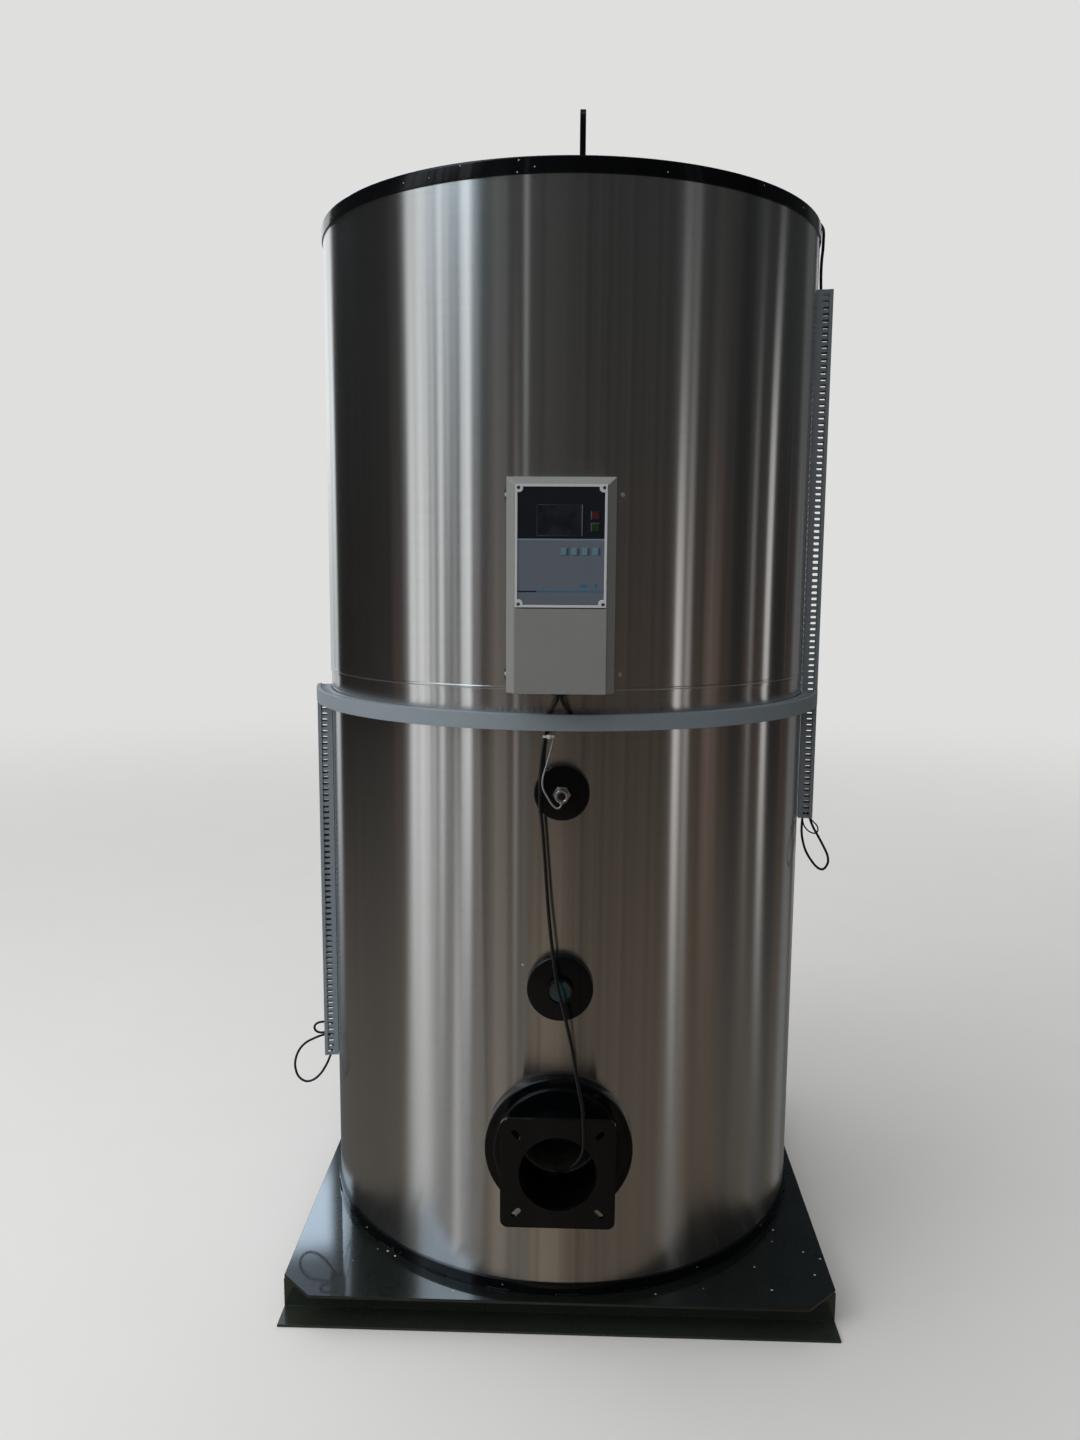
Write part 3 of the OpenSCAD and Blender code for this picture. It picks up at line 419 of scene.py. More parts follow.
def bump(tree, shader, height, depth):
    """Joins a height to the shader's normal, with its full depth in metres."""
    node = tree.add("ShaderNodeBump", {"Height": height, "Strength": 1.0, "Distance": depth})
    tree.link(node.outputs[0], shader.inputs["Normal"])


def join(tree, shader, **sockets):
    """Joins values that change over the surface to the shader."""
    for label, value in sockets.items():
        tree.link(value, shader.inputs[label.replace("_", " ").title()])


def make_stainless(finish):
    """Mirror-brushed sheet: what it mirrors stays sharp round the sheet and runs soft up and down."""
    tree, shader = surface("brushed_stainless", metallic=1.0, anisotropic=finish.sheet_anisotropy,
                           anisotropic_rotation=0.25)
    lines = use_group(tree, "brushed_lines")
    marks = use_group(tree, "smudges")
    base = tree.mix(tree.ramp(lines, 0.3, 0.7), colour(finish.sheet, 0.95), colour(finish.sheet))
    least = finish.sheet_roughness
    rough = tree.math("ADD", tree.ramp(lines, 0.3, 0.7, least, least + 0.012),
                      tree.math("MULTIPLY", marks, 0.012))
    tangent = tree.add("ShaderNodeTangent", direction_type="RADIAL", axis="Z").outputs[0]
    waves = tree.noise(tree.object_place((1, 1, 0.22)), finish.sheet_wave_scale, 1.0)
    bump(tree, shader, waves, finish.sheet_wave_depth)
    join(tree, shader, base_color=base, roughness=rough, tangent=tangent)


def make_coated(name, paint, rough, depth, grain, dust, drops=None, **plain):
    """Paint, enamel, plastic or rubber, with its grain, settled dust and drops if it has any.

    The grain is its scale, its softness and its darkest share of the colour. The dust is its amount, its
    scale, its colour and the roughness that it adds. The drops are their colour and the group's values.
    """
    tree, shader = surface(name, **plain)
    grain_scale, softness, darkest = grain
    mottle = use_group(tree, "fine_grain", scale=grain_scale, softness=softness)
    amount, dust_scale, dust_tone, dust_rough = dust
    lying = use_group(tree, "settled_dust", amount=amount, scale=dust_scale)
    base = tree.mix(tree.ramp(mottle, 0.3, 0.7), colour(paint, darkest), colour(paint))
    base = tree.mix(lying, base, colour(dust_tone))
    if drops:
        tone, values = drops
        base = tree.mix(use_group(tree, "flecks", **values), base, colour(tone))
    worn = tree.math("ADD", tree.ramp(mottle, 0.3, 0.7, *rough), tree.math("MULTIPLY", lying, dust_rough))
    bump(tree, shader, mottle, depth)
    join(tree, shader, base_color=base, roughness=worn)


def make_base_paint(name, paint):
    """Green-grey machine paint on rolled steel, with dust and pale chips."""
    make_coated(name, paint, (0.24, 0.36), 0.00006, (90.0, 0.5, 0.85),
                (0.025, 5.0, (0.22, 0.22, 0.20), 0.4),
                ((0.7, 0.7, 0.66), {"scale": 16.0, "size": 0.04, "share": 0.16}),
                coat_weight=1.0, coat_roughness=0.05, coat_ior=1.8, specular_ior_level=0.2)


def make_moulded(name, tone, roughness, depth=0.00003, dust=0.0, scale=300.0, coat=0.0):
    """A moulded or drawn plastic or rubber with its fine grain and light dust."""
    make_coated(name, tone, (roughness - 0.05, roughness + 0.06), depth, (scale, 0.3, 0.93),
                (dust, 7.0, (0.42, 0.40, 0.37), 0.3), coat_weight=coat, coat_roughness=0.12)


def make_metal(name, tone, roughness, shine=1.0):
    """A bare or plated metal with fine tool marks."""
    tree, shader = surface(name, metallic=shine)
    grain = use_group(tree, "fine_grain", scale=120.0, softness=0.4)
    base = tree.mix(tree.ramp(grain, 0.3, 0.7), colour(tone, 0.82), colour(tone))
    bump(tree, shader, grain, 0.0001)
    join(tree, shader, base_color=base, roughness=tree.ramp(grain, 0.25, 0.75, roughness, roughness + 0.12))


def make_vessel_steel():
    """The vessel's dull plate inside the openings, with soot and heat tint."""
    tree, shader = surface("vessel_steel", metallic=0.35)
    grain = use_group(tree, "fine_grain", scale=40.0, softness=0.5)
    soot = tree.ramp(tree.noise(tree.object_place((1, 1, 0.5)), 14.0, 5.0, 0.65), 0.35, 0.7)
    base = tree.mix(soot, (0.10, 0.095, 0.09, 1), (0.24, 0.21, 0.18, 1))
    bump(tree, shader, grain, 0.0005)
    join(tree, shader, base_color=base, roughness=tree.ramp(grain, 0.3, 0.7, 0.5, 0.75))


def make_glass(name, film, dark, light, rough, coat_roughness):
    """Dark glass under a thin film, which is given by its scale and the range that it covers."""
    tree, shader = surface(name, coat_weight=1.0, coat_roughness=coat_roughness)
    scale, start, full = film
    haze = tree.ramp(tree.noise(tree.object_place(), scale, 3.0), start, full)
    join(tree, shader, base_color=tree.mix(haze, colour(dark), colour(light)),
         roughness=tree.ramp(haze, 0.0, 1.0, *rough))


def make_silver_lead():
    """The silvery braid of the sensor's lead."""
    tree, shader = surface("silver_lead", metallic=0.8)
    wave = {"Vector": tree.object_place(), "Scale": 300.0, "Distortion": 2.0, "Detail": 1.0}
    strands = tree.add("ShaderNodeTexWave", wave, bands_direction="DIAGONAL").outputs[1]
    bump(tree, shader, strands, 0.0002)
    join(tree, shader, base_color=tree.mix(strands, (0.42, 0.42, 0.43, 1), (0.80, 0.80, 0.80, 1)),
         roughness=tree.ramp(strands, 0.0, 1.0, 0.38, 0.28))


def make_finishes(finish):
    """Every material of the boiler, by the name that the pieces use."""
    for make in SHADER_GROUPS:
        make()
    make_stainless(finish)
    make_coated("black_enamel", finish.enamel, (0.14, 0.24), 0.00012, (120.0, 0.7, 1.0),
                (0.012, 9.0, (0.26, 0.27, 0.28), 0.5),
                ((0.62, 0.62, 0.6), {"scale": 26.0, "size": 0.035, "share": 0.1}),
                coat_weight=0.4, coat_roughness=0.05, specular_ior_level=0.18)
    # The plate and its angles carry one paint in two tones: the plate's darker tone is painted shade on its
    # top, the angles' lighter tone painted light on their front faces.
    make_base_paint("base_paint", finish.base)
    make_base_paint("lit_angle_paint", finish.angles)
    make_vessel_steel()
    make_metal("bright_metal", (0.78, 0.78, 0.77), 0.14)
    make_metal("screw_steel", (0.30, 0.30, 0.31), 0.3)
    make_metal("zinc", (0.80, 0.81, 0.82), 0.34, shine=0.45)
    make_moulded("duct_pvc", finish.duct, 0.46, 0.00012, 0.3, 260.0)
    make_moulded("box_plastic", finish.box, 0.42, 0.00012, 0.18, 420.0)
    for name, values in MOULDED.items():
        make_moulded(name, *values)
    make_glass("sight_glass", (60.0, 0.35, 0.7), (0.004, 0.018, 0.022), (0.012, 0.045, 0.052),
               (0.05, 0.16), 0.02)
    make_glass("display_glass", (45.0, 0.3, 0.75), (0.006, 0.008, 0.013), (0.016, 0.020, 0.030),
               (0.10, 0.22), 0.03)
    make_silver_lead()


def finish_of(node):
    """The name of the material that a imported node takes."""
    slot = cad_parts[node].material_slots[0].material.name.split(".")[0]
    return SLOT_MATERIALS.get(slot, slot)


def place_piece(piece, material_name, *replaced):
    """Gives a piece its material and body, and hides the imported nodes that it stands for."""
    piece.data.materials.clear()
    piece.data.materials.append(MATERIALS[material_name])
    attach(piece, BODY)
    if replaced:
        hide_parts(*replaced)
    return piece


# Meshes

def new_object(name, data):
    """An object at the origin, linked to the scene."""
    made = bpy.data.objects.new(name, data)
    bpy.context.scene.collection.objects.link(made)
    return made


def mesh_object(name, bm):
    """An object from a bmesh, which is freed."""
    mesh = bpy.data.meshes.new(name)
    bm.to_mesh(mesh)
    bm.free()
    return new_object(name, mesh)


def dress_nodes(*nodes):
    """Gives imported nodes, whose shapes are right as they are, their finish."""
    for node in nodes:
        finish = MATERIALS[finish_of(node)]
        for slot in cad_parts[node].material_slots:
            slot.material = finish


def apply_modifiers(made):
    """Gives an object the mesh that its modifiers make, and takes them off."""
    evaluated = made.evaluated_get(bpy.context.evaluated_depsgraph_get())
    mesh = bpy.data.meshes.new_from_object(evaluated)
    made.modifiers.clear()
    made.data = mesh


def shade_by_angle(mesh, degrees):
    """Smooth shading that stays sharp at edges over an angle."""
    mesh.polygons.foreach_set("use_smooth", [True] * len(mesh.polygons))
    mesh.set_sharp_from_angle(angle=math.radians(degrees))


def mesh_piece(name, bm, material_name, sharp=40):
    """A small piece from a bmesh, shaded smooth up to an angle."""
    made = mesh_object(name, bm)
    shade_by_angle(made.data, sharp)
    place_piece(made, material_name)


def merged_copy(node):
    """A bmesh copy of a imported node, its doubles merged and its flat faces joined."""
    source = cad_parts[node].data
    bm = bmesh.new()
    vertices = [bm.verts.new(vertex.co) for vertex in source.vertices]
    for polygon in source.polygons:
        corners = [vertices[index] for index in polygon.vertices]
        if bm.faces.get(corners) is None:
            bm.faces.new(corners)
    bmesh.ops.remove_doubles(bm, verts=bm.verts, dist=2e-6)
    bmesh.ops.dissolve_degenerate(bm, edges=bm.edges, dist=1e-6)
    bmesh.ops.dissolve_limit(bm, angle_limit=math.radians(0.4), verts=bm.verts, edges=bm.edges)
    return bm


def rounded(radius, *nodes, material_name=None, segments=2):
    """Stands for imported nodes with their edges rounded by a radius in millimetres."""
    for node in nodes:
        made = mesh_object("rounded_" + node, merged_copy(node))
        shade_by_angle(made.data, 30)
        bevel = made.modifiers.new("edges", "BEVEL")
        bevel.width = radius * MM
        bevel.segments = segments
        bevel.limit_method = "ANGLE"
        bevel.angle_limit = math.radians(35)
        bevel.use_clamp_overlap = True
        bevel.harden_normals = True
        apply_modifiers(made)
        place_piece(made, material_name or finish_of(node), node)


def slabs(name, spans, material_name, edge=0.0):
    """Thin plates of one kind as a single piece, each between two corners in millimetres."""
    bm = bmesh.new()
    for low, high in spans:
        low, high = Vector(low) * MM, Vector(high) * MM
        place = Matrix.Translation((low + high) / 2) @ Matrix.Diagonal((*(high - low), 1.0))
        bmesh.ops.create_cube(bm, size=1.0, matrix=place)
    if edge:
        bmesh.ops.bevel(bm, geom=bm.edges[:], offset=edge * MM, segments=2, affect="EDGES", profile=0.5)
    mesh_piece(name, bm, material_name)


def closed_skin(name, rings, material_name, sharp):
    """A skin through rings of points in millimetres, from each ring to the next and back to the first."""
    bm = bmesh.new()
    rows = [[bm.verts.new(Vector(point) * MM) for point in ring] for ring in rings]
    count = len(rows[0])
    for first, second in zip(rows, rows[1:] + rows[:1]):
        for i in range(count):
            j = (i + 1) % count
            bm.faces.new((first[i], first[j], second[j], second[i]))
    bmesh.ops.recalc_face_normals(bm, faces=bm.faces)
    mesh_piece(name, bm, material_name, sharp)


def band(name, outline, material_name, low, high, thickness):
    """A strap of one thickness round a closed outline, all in millimetres."""
    spots = [Vector(point) for point in outline]
    centre = sum(spots, Vector((0, 0))) / len(spots)
    rings = []
    for z, out in ((low, 0.0), (low, thickness), (high, thickness), (high, 0.0)):
        rings.append([(*(spot + out * (spot - centre).normalized()), z) for spot in spots])
    closed_skin(name, rings, material_name, 40)


def round_points(radius, spots):
    """Places on an upright cylinder from (height, azimuth), in millimetres, each with its outward facing."""
    points = []
    for z, azimuth in spots:
        turn = math.radians(azimuth)
        out = (math.cos(turn), math.sin(turn), 0.0)
        points.append(((radius * out[0], radius * out[1], z), out))
    return points


def make_jacket_bead():
    """A soft bead rolled round the jacket."""
    profile = []
    for j in range(BEAD_SIDES + 1):
        turn = math.pi * (j / BEAD_SIDES - 0.5)
        reach = (BEAD_PROUD + BEAD_SINK) * math.cos(turn) - BEAD_SINK
        profile.append((UPPER_SHEET_RADIUS + reach, BEAD_HEIGHT + BEAD_HALF * math.sin(turn)))
    profile.append((UPPER_SHEET_RADIUS - BEAD_ROOT, BEAD_HEIGHT))
    rings = []
    for radius, z in profile:
        spots = [(z, 360 * i / BEAD_STEPS) for i in range(BEAD_STEPS)]
        rings.append([place for place, out in round_points(radius, spots)])
    closed_skin("jacket_bead", rings, "brushed_stainless", 60)


# Geometry trees for small pieces that repeat

PIECE_INPUTS = (
    ("Geometry", "NodeSocketGeometry"), ("Size", "NodeSocketFloat"), ("Height", "NodeSocketFloat"),
    ("Spread", "NodeSocketFloat"), ("Seed", "NodeSocketInt"), ("Material", "NodeSocketMaterial"),
)


def dome(tree):
    """A round head, one wide and one high above its middle."""
    ball = tree.add("GeometryNodeMeshIcoSphere", {"Radius": 0.5, "Subdivisions": 3}).outputs["Mesh"]
    return tree.add("GeometryNodeTransform", {"Geometry": ball, "Scale": (1, 1, 2)}).outputs[0]


def cross_head(tree):
    """A screw's head with its cross recess, one wide and one high."""
    cone = {"Vertices": 24, "Radius Top": 0.34, "Radius Bottom": 0.5, "Depth": 1.0}
    head = tree.add("GeometryNodeMeshCone", cone).outputs["Mesh"]
    for turn in (0.0, math.pi / 2):
        bar = tree.add("GeometryNodeMeshCube", {"Size": (0.56, 0.12, 1.2)}).outputs["Mesh"]
        move = {"Geometry": bar, "Translation": (0, 0, 1.05), "Rotation": (0, 0, turn)}
        arm = tree.add("GeometryNodeTransform", move).outputs[0]
        cut = tree.add("GeometryNodeMeshBoolean", {"Mesh 1": head, "Mesh 2": arm}, operation="DIFFERENCE")
        head = cut.outputs["Mesh"]
    return head


def make_piece_tree(name, build):
    """A geometry tree that sets one piece on every point, its Z axis along the point's facing."""
    group = bpy.data.node_groups.new(name, "GeometryNodeTree")
    for label, kind in PIECE_INPUTS:
        group.interface.new_socket(label, in_out="INPUT", socket_type=kind)
    group.interface.new_socket("Geometry", in_out="OUTPUT", socket_type="NodeSocketGeometry")
    tree = Tree(group)
    given = tree.add("NodeGroupInput").outputs

    def random(low, high):
        return tree.add("FunctionNodeRandomValue", {2: low, 3: high, "Seed": given["Seed"]}).outputs[1]

    facing = tree.add("GeometryNodeInputNamedAttribute", {"Name": "facing"}, data_type="FLOAT_VECTOR")
    upright = tree.add("FunctionNodeAlignRotationToVector", {"Vector": facing.outputs[0]}, axis="Z")
    spin = {"Axis": (0, 0, 1), "Angle": random(0.0, 2 * math.pi)}
    turn = tree.add("FunctionNodeAxisAngleToRotation", spin).outputs[0]
    turned = tree.add("FunctionNodeRotateRotation", {0: upright.outputs[0], 1: turn}, rotation_space="LOCAL")
    spread = given["Spread"]
    share = random(tree.math("SUBTRACT", 1.0, spread), tree.math("ADD", 1.0, spread))
    size = tree.add("ShaderNodeCombineXYZ", {0: given["Size"], 1: given["Size"], 2: given["Height"]})
    scale = tree.add("ShaderNodeVectorMath", {0: size.outputs[0], "Scale": share}, operation="SCALE")
    setting = {"Points": given["Geometry"], "Instance": build(tree), "Rotation": turned.outputs[0],
               "Scale": scale.outputs[0]}
    placed = tree.add("GeometryNodeInstanceOnPoints", setting).outputs[0]
    real = tree.add("GeometryNodeRealizeInstances", {"Geometry": placed}).outputs[0]
    dressed = tree.add("GeometryNodeSetMaterial", {"Geometry": real, "Material": given["Material"]})
    tree.add("NodeGroupOutput", {"Geometry": dressed.outputs[0]})


def scattered(name, points, material_name, size, height, spread=0.0, seed=1, kind="domes"):
    """One small piece on each (place, facing), in millimetres: made by a geometry tree, kept as a mesh."""
    mesh = bpy.data.meshes.new(name)
    mesh.from_pydata([Vector(place) * MM for place, facing in points], [], [])
    facings = mesh.attributes.new("facing", "FLOAT_VECTOR", "POINT")
    facings.data.foreach_set("vector", [part for place, facing in points for part in facing])
    made = new_object(name, mesh)
    modifier = made.modifiers.new("pieces", "NODES")
    modifier.node_group = bpy.data.node_groups[kind]
    values = {"Size": size * MM, "Height": height * MM, "Spread": spread, "Seed": seed,
              "Material": MATERIALS[material_name]}
    for socket in modifier.node_group.interface.items_tree:
        if socket.name in values:
            modifier[socket.identifier] = values[socket.name]
    apply_modifiers(made)
    shade_by_angle(made.data, 40)
    place_piece(made, material_name)


# Routes

def between(a, b, c, d, t):
    """A point of a smooth curve between b and c."""
    square = (2 * a - 5 * b + 4 * c - d) * t**2
    return 0.5 * (2 * b + (c - a) * t + square + (3 * b - a - 3 * c + d) * t**3)


def smooth_route(points):
    """The route in metres, with more points between each pair of chosen ones."""
    chosen = [Vector(point) * MM for point in points]
    last = len(chosen) - 1
    route = []
    for i in range(last):
        near = (chosen[max(i - 1, 0)], chosen[i], chosen[i + 1], chosen[min(i + 2, last)])
        route += [between(*near, j / ROUTE_STEPS) for j in range(ROUTE_STEPS)]
    return route + [chosen[last]]


def front_circle(radius):
    """A closed round route in metres on the sensor's head, from a radius in millimetres."""
    route = []
    for i in range(49):
        turn = 2 * math.pi * i / 48
        place = (radius * math.cos(turn), SENSOR_FACE, SENSOR_HEIGHT + radius * math.sin(turn))
        route.append(Vector(place) * MM)
    return route


def lead_curve(name, routes, diameter):
    """A curve with one tube for each route."""
    curve = bpy.data.curves.new(name, "CURVE")
    curve.dimensions = "3D"
    curve.bevel_depth = diameter / 2
    curve.bevel_resolution = LEAD_SIDES
    curve.use_fill_caps = True
    for route in routes:
        spline = curve.splines.new("POLY")
        spline.points.add(len(route) - 1)
        for point, place in zip(spline.points, route):
            point.co = (*place, 1.0)
        spline.use_smooth = True
    return new_object(name, curve)


def free_lead(name, node, points, diameter, material_name="black_rubber"):
    """A free lead along its route, which stands for its imported node."""
    route = smooth_route(points)
    made = place_piece(lead_curve(name, [route], diameter), material_name, node)


# Settings

def tint(name, description, default):
    """A colour setting."""
    return bpy.props.FloatVectorProperty(
        name=name, description=description, subtype="COLOR", size=3, default=default, min=0, max=1)


def number(name, description, default, least=0, most=4, **kind):
    """A plain number setting."""
    return bpy.props.FloatProperty(
        name=name, description=description, default=default, min=least, max=most, **kind)


class BoilerFinish(bpy.types.PropertyGroup):
    """Colours and sheen of the boiler's surfaces."""

    sheet: tint("Sheet", "Colour of the stainless cladding", (0.72, 0.71, 0.69))
    sheet_roughness: number("Sheet Roughness", "How far the brushed sheet softens what it mirrors", 0.165,
                            most=1, subtype="FACTOR")
    sheet_anisotropy: number("Sheet Anisotropy", "How much more the sheet softens upwards than sideways",
                             1.0, most=1, subtype="FACTOR")
    sheet_wave_depth: number("Wave Depth", "Height of the soft waves that rolled sheet has", 0.0005,
                             most=0.01, unit="LENGTH")
    sheet_wave_scale: number("Wave Scale", "Waves a metre round the sheet", 3.2, 0.1, 20)
    enamel: tint("Enamel", "Colour of the black stoving enamel", (0.0016, 0.0020, 0.0027))
    # The base plate and the angles under it carry one paint: the plate's darker tone is painted shade on its
    # top, the angles' lighter tone painted light on their front faces.
    base: tint("Base Paint", "Colour of the painted base plate", (0.006, 0.009, 0.008))
    angles: tint("Angle Paint", "Colour of the painted angles under the base plate", (0.022, 0.028, 0.021))
    duct: tint("Duct", "Colour of the slotted wiring duct", (0.27, 0.32, 0.36))
    box: tint("Box", "Colour of the control box", (0.26, 0.268, 0.258))


class BoilerLeads(bpy.types.PropertyGroup):
    """Sizes of the leads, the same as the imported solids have."""

    burner: number("Burner Lead", "Diameter of the burner's lead", 0.0065, most=0.05, unit="LENGTH")
    sensor: number("Sensor Lead", "Diameter of the sensor's lead and the thin loop", 0.003, most=0.05,
                   unit="LENGTH")
    spare: number("Spare Lead", "Diameter of the spare loops", 0.005, most=0.05, unit="LENGTH")
    box: number("Box Lead", "Diameter of the leads under the control box", 0.007, most=0.05, unit="LENGTH")
    top: number("Top Lead", "Diameter of the lead over the rim", 0.006, most=0.05, unit="LENGTH")


class BoilerStage(bpy.types.PropertyGroup):
    """The floor, the background and the light."""

    floor: tint("Floor", "Colour of the studio floor", (0.80, 0.795, 0.785))
    background: tint("Background", "Colour behind the boiler", (0.74, 0.74, 0.73))
    ambient: number("Ambient", "Strength of the soft light from above and all round", 0.92)
    ground: number("Ground", "Strength of the light that comes back from the ground", 0.14, most=2)
    streaks: number("Streaks", "How dim the darkest fine streaks are that the sheets mirror", 0.55,
                    most=1, subtype="FACTOR")
    key: number("Key Light", "Power of the large soft lamp", 60.0, most=2000, unit="POWER")
    floor_radius: number("Floor Radius", "How far the floor runs", 60.0, 5, 200, unit="LENGTH")


# The stage

def mirrored_light(tree, direction, dimmest):
    """What the polished sheets and the base plate mirror: soft strips, fine streaks and high openings."""
    azimuth = tree.math("DEGREES", tree.math("ARCTAN2", direction["Y"], direction["X"]))
    elevation = tree.math("DEGREES", tree.math("ARCSINE", direction["Z"]))
    near_feet = tree.ramp(elevation, HORIZON_MIDDLE, HORIZON_FOOT)

    def light(levels, warmth, lift=0.0):
        above = tree.ramp(elevation, HORIZON_MIDDLE + HORIZON_BLEND + lift, HORIZON_TOP + lift)
        tones = []
        for level, warm_light in zip(levels, WARM_LIGHTS):
            tone = [cool + (warm - cool) * warmth for cool, warm in zip(COOL_LIGHT, warm_light)]
            tones.append(colour(tone, level))
        top, middle, foot = tones
        return tree.mix(above, tree.mix(near_feet, middle, foot), top)

    mirrored = light(DARK_LEVELS, 1.0)
    for centre, half, edge, top, middle, foot, warmth, lift in STRIPS:
        aside = tree.math("WRAP", tree.math("SUBTRACT", azimuth, centre), -180.0, 180.0)
        share = tree.ramp(tree.math("ABSOLUTE", aside), half + edge / 2, half - edge / 2)
        mirrored = tree.mix(share, mirrored, light((top, middle, foot), warmth, lift))
    noise = {"W": tree.math("MULTIPLY", azimuth, 0.45), "Scale": 1.0, "Detail": 4.0, "Roughness": 0.7}
    streaks = tree.add("ShaderNodeTexNoise", noise, noise_dimensions="1D").outputs[0]
    shade = tree.ramp(streaks, 0.32, 0.68, dimmest, 2 - dimmest, smooth=False)
    mirrored = tree.add("ShaderNodeVectorMath", {0: mirrored, "Scale": shade}, operation="SCALE").outputs[0]
    for centre, half, low, high, level in OPENINGS:
        aside = tree.math("ABSOLUTE", tree.math("SUBTRACT", azimuth, centre))
        rise, fall = tree.ramp(elevation, low, low + 1), tree.ramp(elevation, high, high - 1)
        across = tree.ramp(aside, half + 0.3, half - 0.3)
        inside = tree.math("MULTIPLY", across, tree.math("MULTIPLY", rise, fall))
        mirrored = tree.mix(inside, mirrored, colour(OPENING_LIGHT, level))
    return mirrored


def make_world(stage):
    """A pale background for the camera, even light, and soft strips for what the polished sheets mirror."""
    world = bpy.data.worlds.new("studio")
    bpy.context.scene.world = world
    world.use_nodes = True
    tree = Tree(world.node_tree)
    place = tree.add("ShaderNodeTexCoord").outputs["Generated"]
    direction = tree.add("ShaderNodeSeparateXYZ", {0: place}).outputs
    height = tree.ramp(direction["Z"], *LIGHT_BY_HEIGHT, smooth=False)
    side = tree.ramp(direction["X"], *LIGHT_BY_SIDE, smooth=False)
    sky = tree.math("MULTIPLY", tree.math("MULTIPLY", height, side), stage.ambient)
    even = tree.mix(tree.ramp(direction["Z"], -0.08, 0.02), colour(GROUND_LIGHT, stage.ground),
                    tree.add("ShaderNodeCombineXYZ", {0: sky, 1: sky, 2: sky}).outputs[0])
    path = tree.add("ShaderNodeLightPath").outputs
    lit = tree.mix(path["Is Glossy Ray"], even, mirrored_light(tree, direction, stage.streaks))
    straight = tree.math("MAXIMUM", path["Is Camera Ray"], path["Is Transmission Ray"])
    seen = tree.mix(straight, lit, colour(stage.background))
    tree.link(seen, world.node_tree.nodes["Background"].inputs["Color"])


def make_floor(stage):
    """A round floor that fades into the background far from the boiler."""
    bm = bmesh.new()
    bmesh.ops.create_circle(bm, cap_ends=True, segments=96, radius=stage.floor_radius)
    floor = mesh_object("studio_floor", bm)
    tree, shader = surface("studio_floor", roughness=0.9, specular_ior_level=0.1)
    mottle = tree.noise(tree.object_place(), 3.0, 5.0, 0.6)
    join(tree, shader, base_color=tree.mix(mottle, colour(stage.floor, 0.96), colour(stage.floor)))
    away = tree.add("ShaderNodeVectorMath", {0: tree.object_place()}, operation="LENGTH").outputs["Value"]
    far = tree.add("ShaderNodeEmission", {"Color": colour(stage.background), "Strength": 1.0}).outputs[0]
    blend = tree.add("ShaderNodeMixShader", {0: tree.ramp(away, 2.5, 9.0), 1: shader.outputs[0], 2: far})
    tree.link(blend.outputs[0], tree.tree.nodes["Material Output"].inputs["Surface"])
    floor.data.materials.append(MATERIALS["studio_floor"])
    floor.visible_glossy = False
    floor.visible_diffuse = False


def make_key_light(stage):
    """One large soft lamp, high at the front left."""
    data = bpy.data.lights.new("key_light", "AREA")
    data.shape = "DISK"
    data.size = LAMP_SIZE
    data.energy = stage.key
    lamp = new_object("key_light", data)
    aim = Vector(LAMP_AIM) - Vector(LAMP_PLACE)
    turn = aim.to_track_quat("-Z", "Y").to_matrix().to_4x4()
    lamp.matrix_world = Matrix.Translation(LAMP_PLACE) @ turn
    lamp.visible_glossy = False


# Operators, one for each group of pieces

class BOILER_OT_make_finishes(bpy.types.Operator):
    """Make every material of the boiler"""

    bl_idname = "boiler.make_finishes"
    bl_label = "Finishes"

    def execute(self, context):
        make_finishes(context.scene.boiler_finish)
        make_piece_tree("domes", dome)
        make_piece_tree("cross_screws", cross_head)
        return {"FINISHED"}


class BOILER_OT_make_camera(bpy.types.Operator):
    """Place the camera at the photograph's viewing angle"""

    bl_idname = "boiler.make_camera"
    bl_label = "Camera"

    def execute(self, context):
        data = bpy.data.cameras.new("camera")
        data.lens = CAMERA_LENS
        data.sensor_width = SENSOR_LONG_SIDE
        data.clip_start = 0.05
        data.clip_end = 300.0
        camera = new_object("camera", data)
        turn = Matrix.Rotation(CAMERA_YAW, 4, "Z") @ Matrix.Rotation(math.pi / 2 + CAMERA_PITCH, 4, "X")
        turn = turn @ Matrix.Rotation(CAMERA_ROLL, 4, "Z")
        camera.matrix_world = Matrix.Translation(CAMERA_PLACE) @ turn
        context.scene.camera = camera
        return {"FINISHED"}


class BOILER_OT_make_stage(bpy.types.Operator):
    """Make the floor, the background and the light"""

    bl_idname = "boiler.make_stage"
    bl_label = "Stage"

    def execute(self, context):
        context.scene.view_settings.view_transform = "Standard"
        make_world(context.scene.boiler_stage)
        make_floor(context.scene.boiler_stage)
        make_key_light(context.scene.boiler_stage)
        return {"FINISHED"}


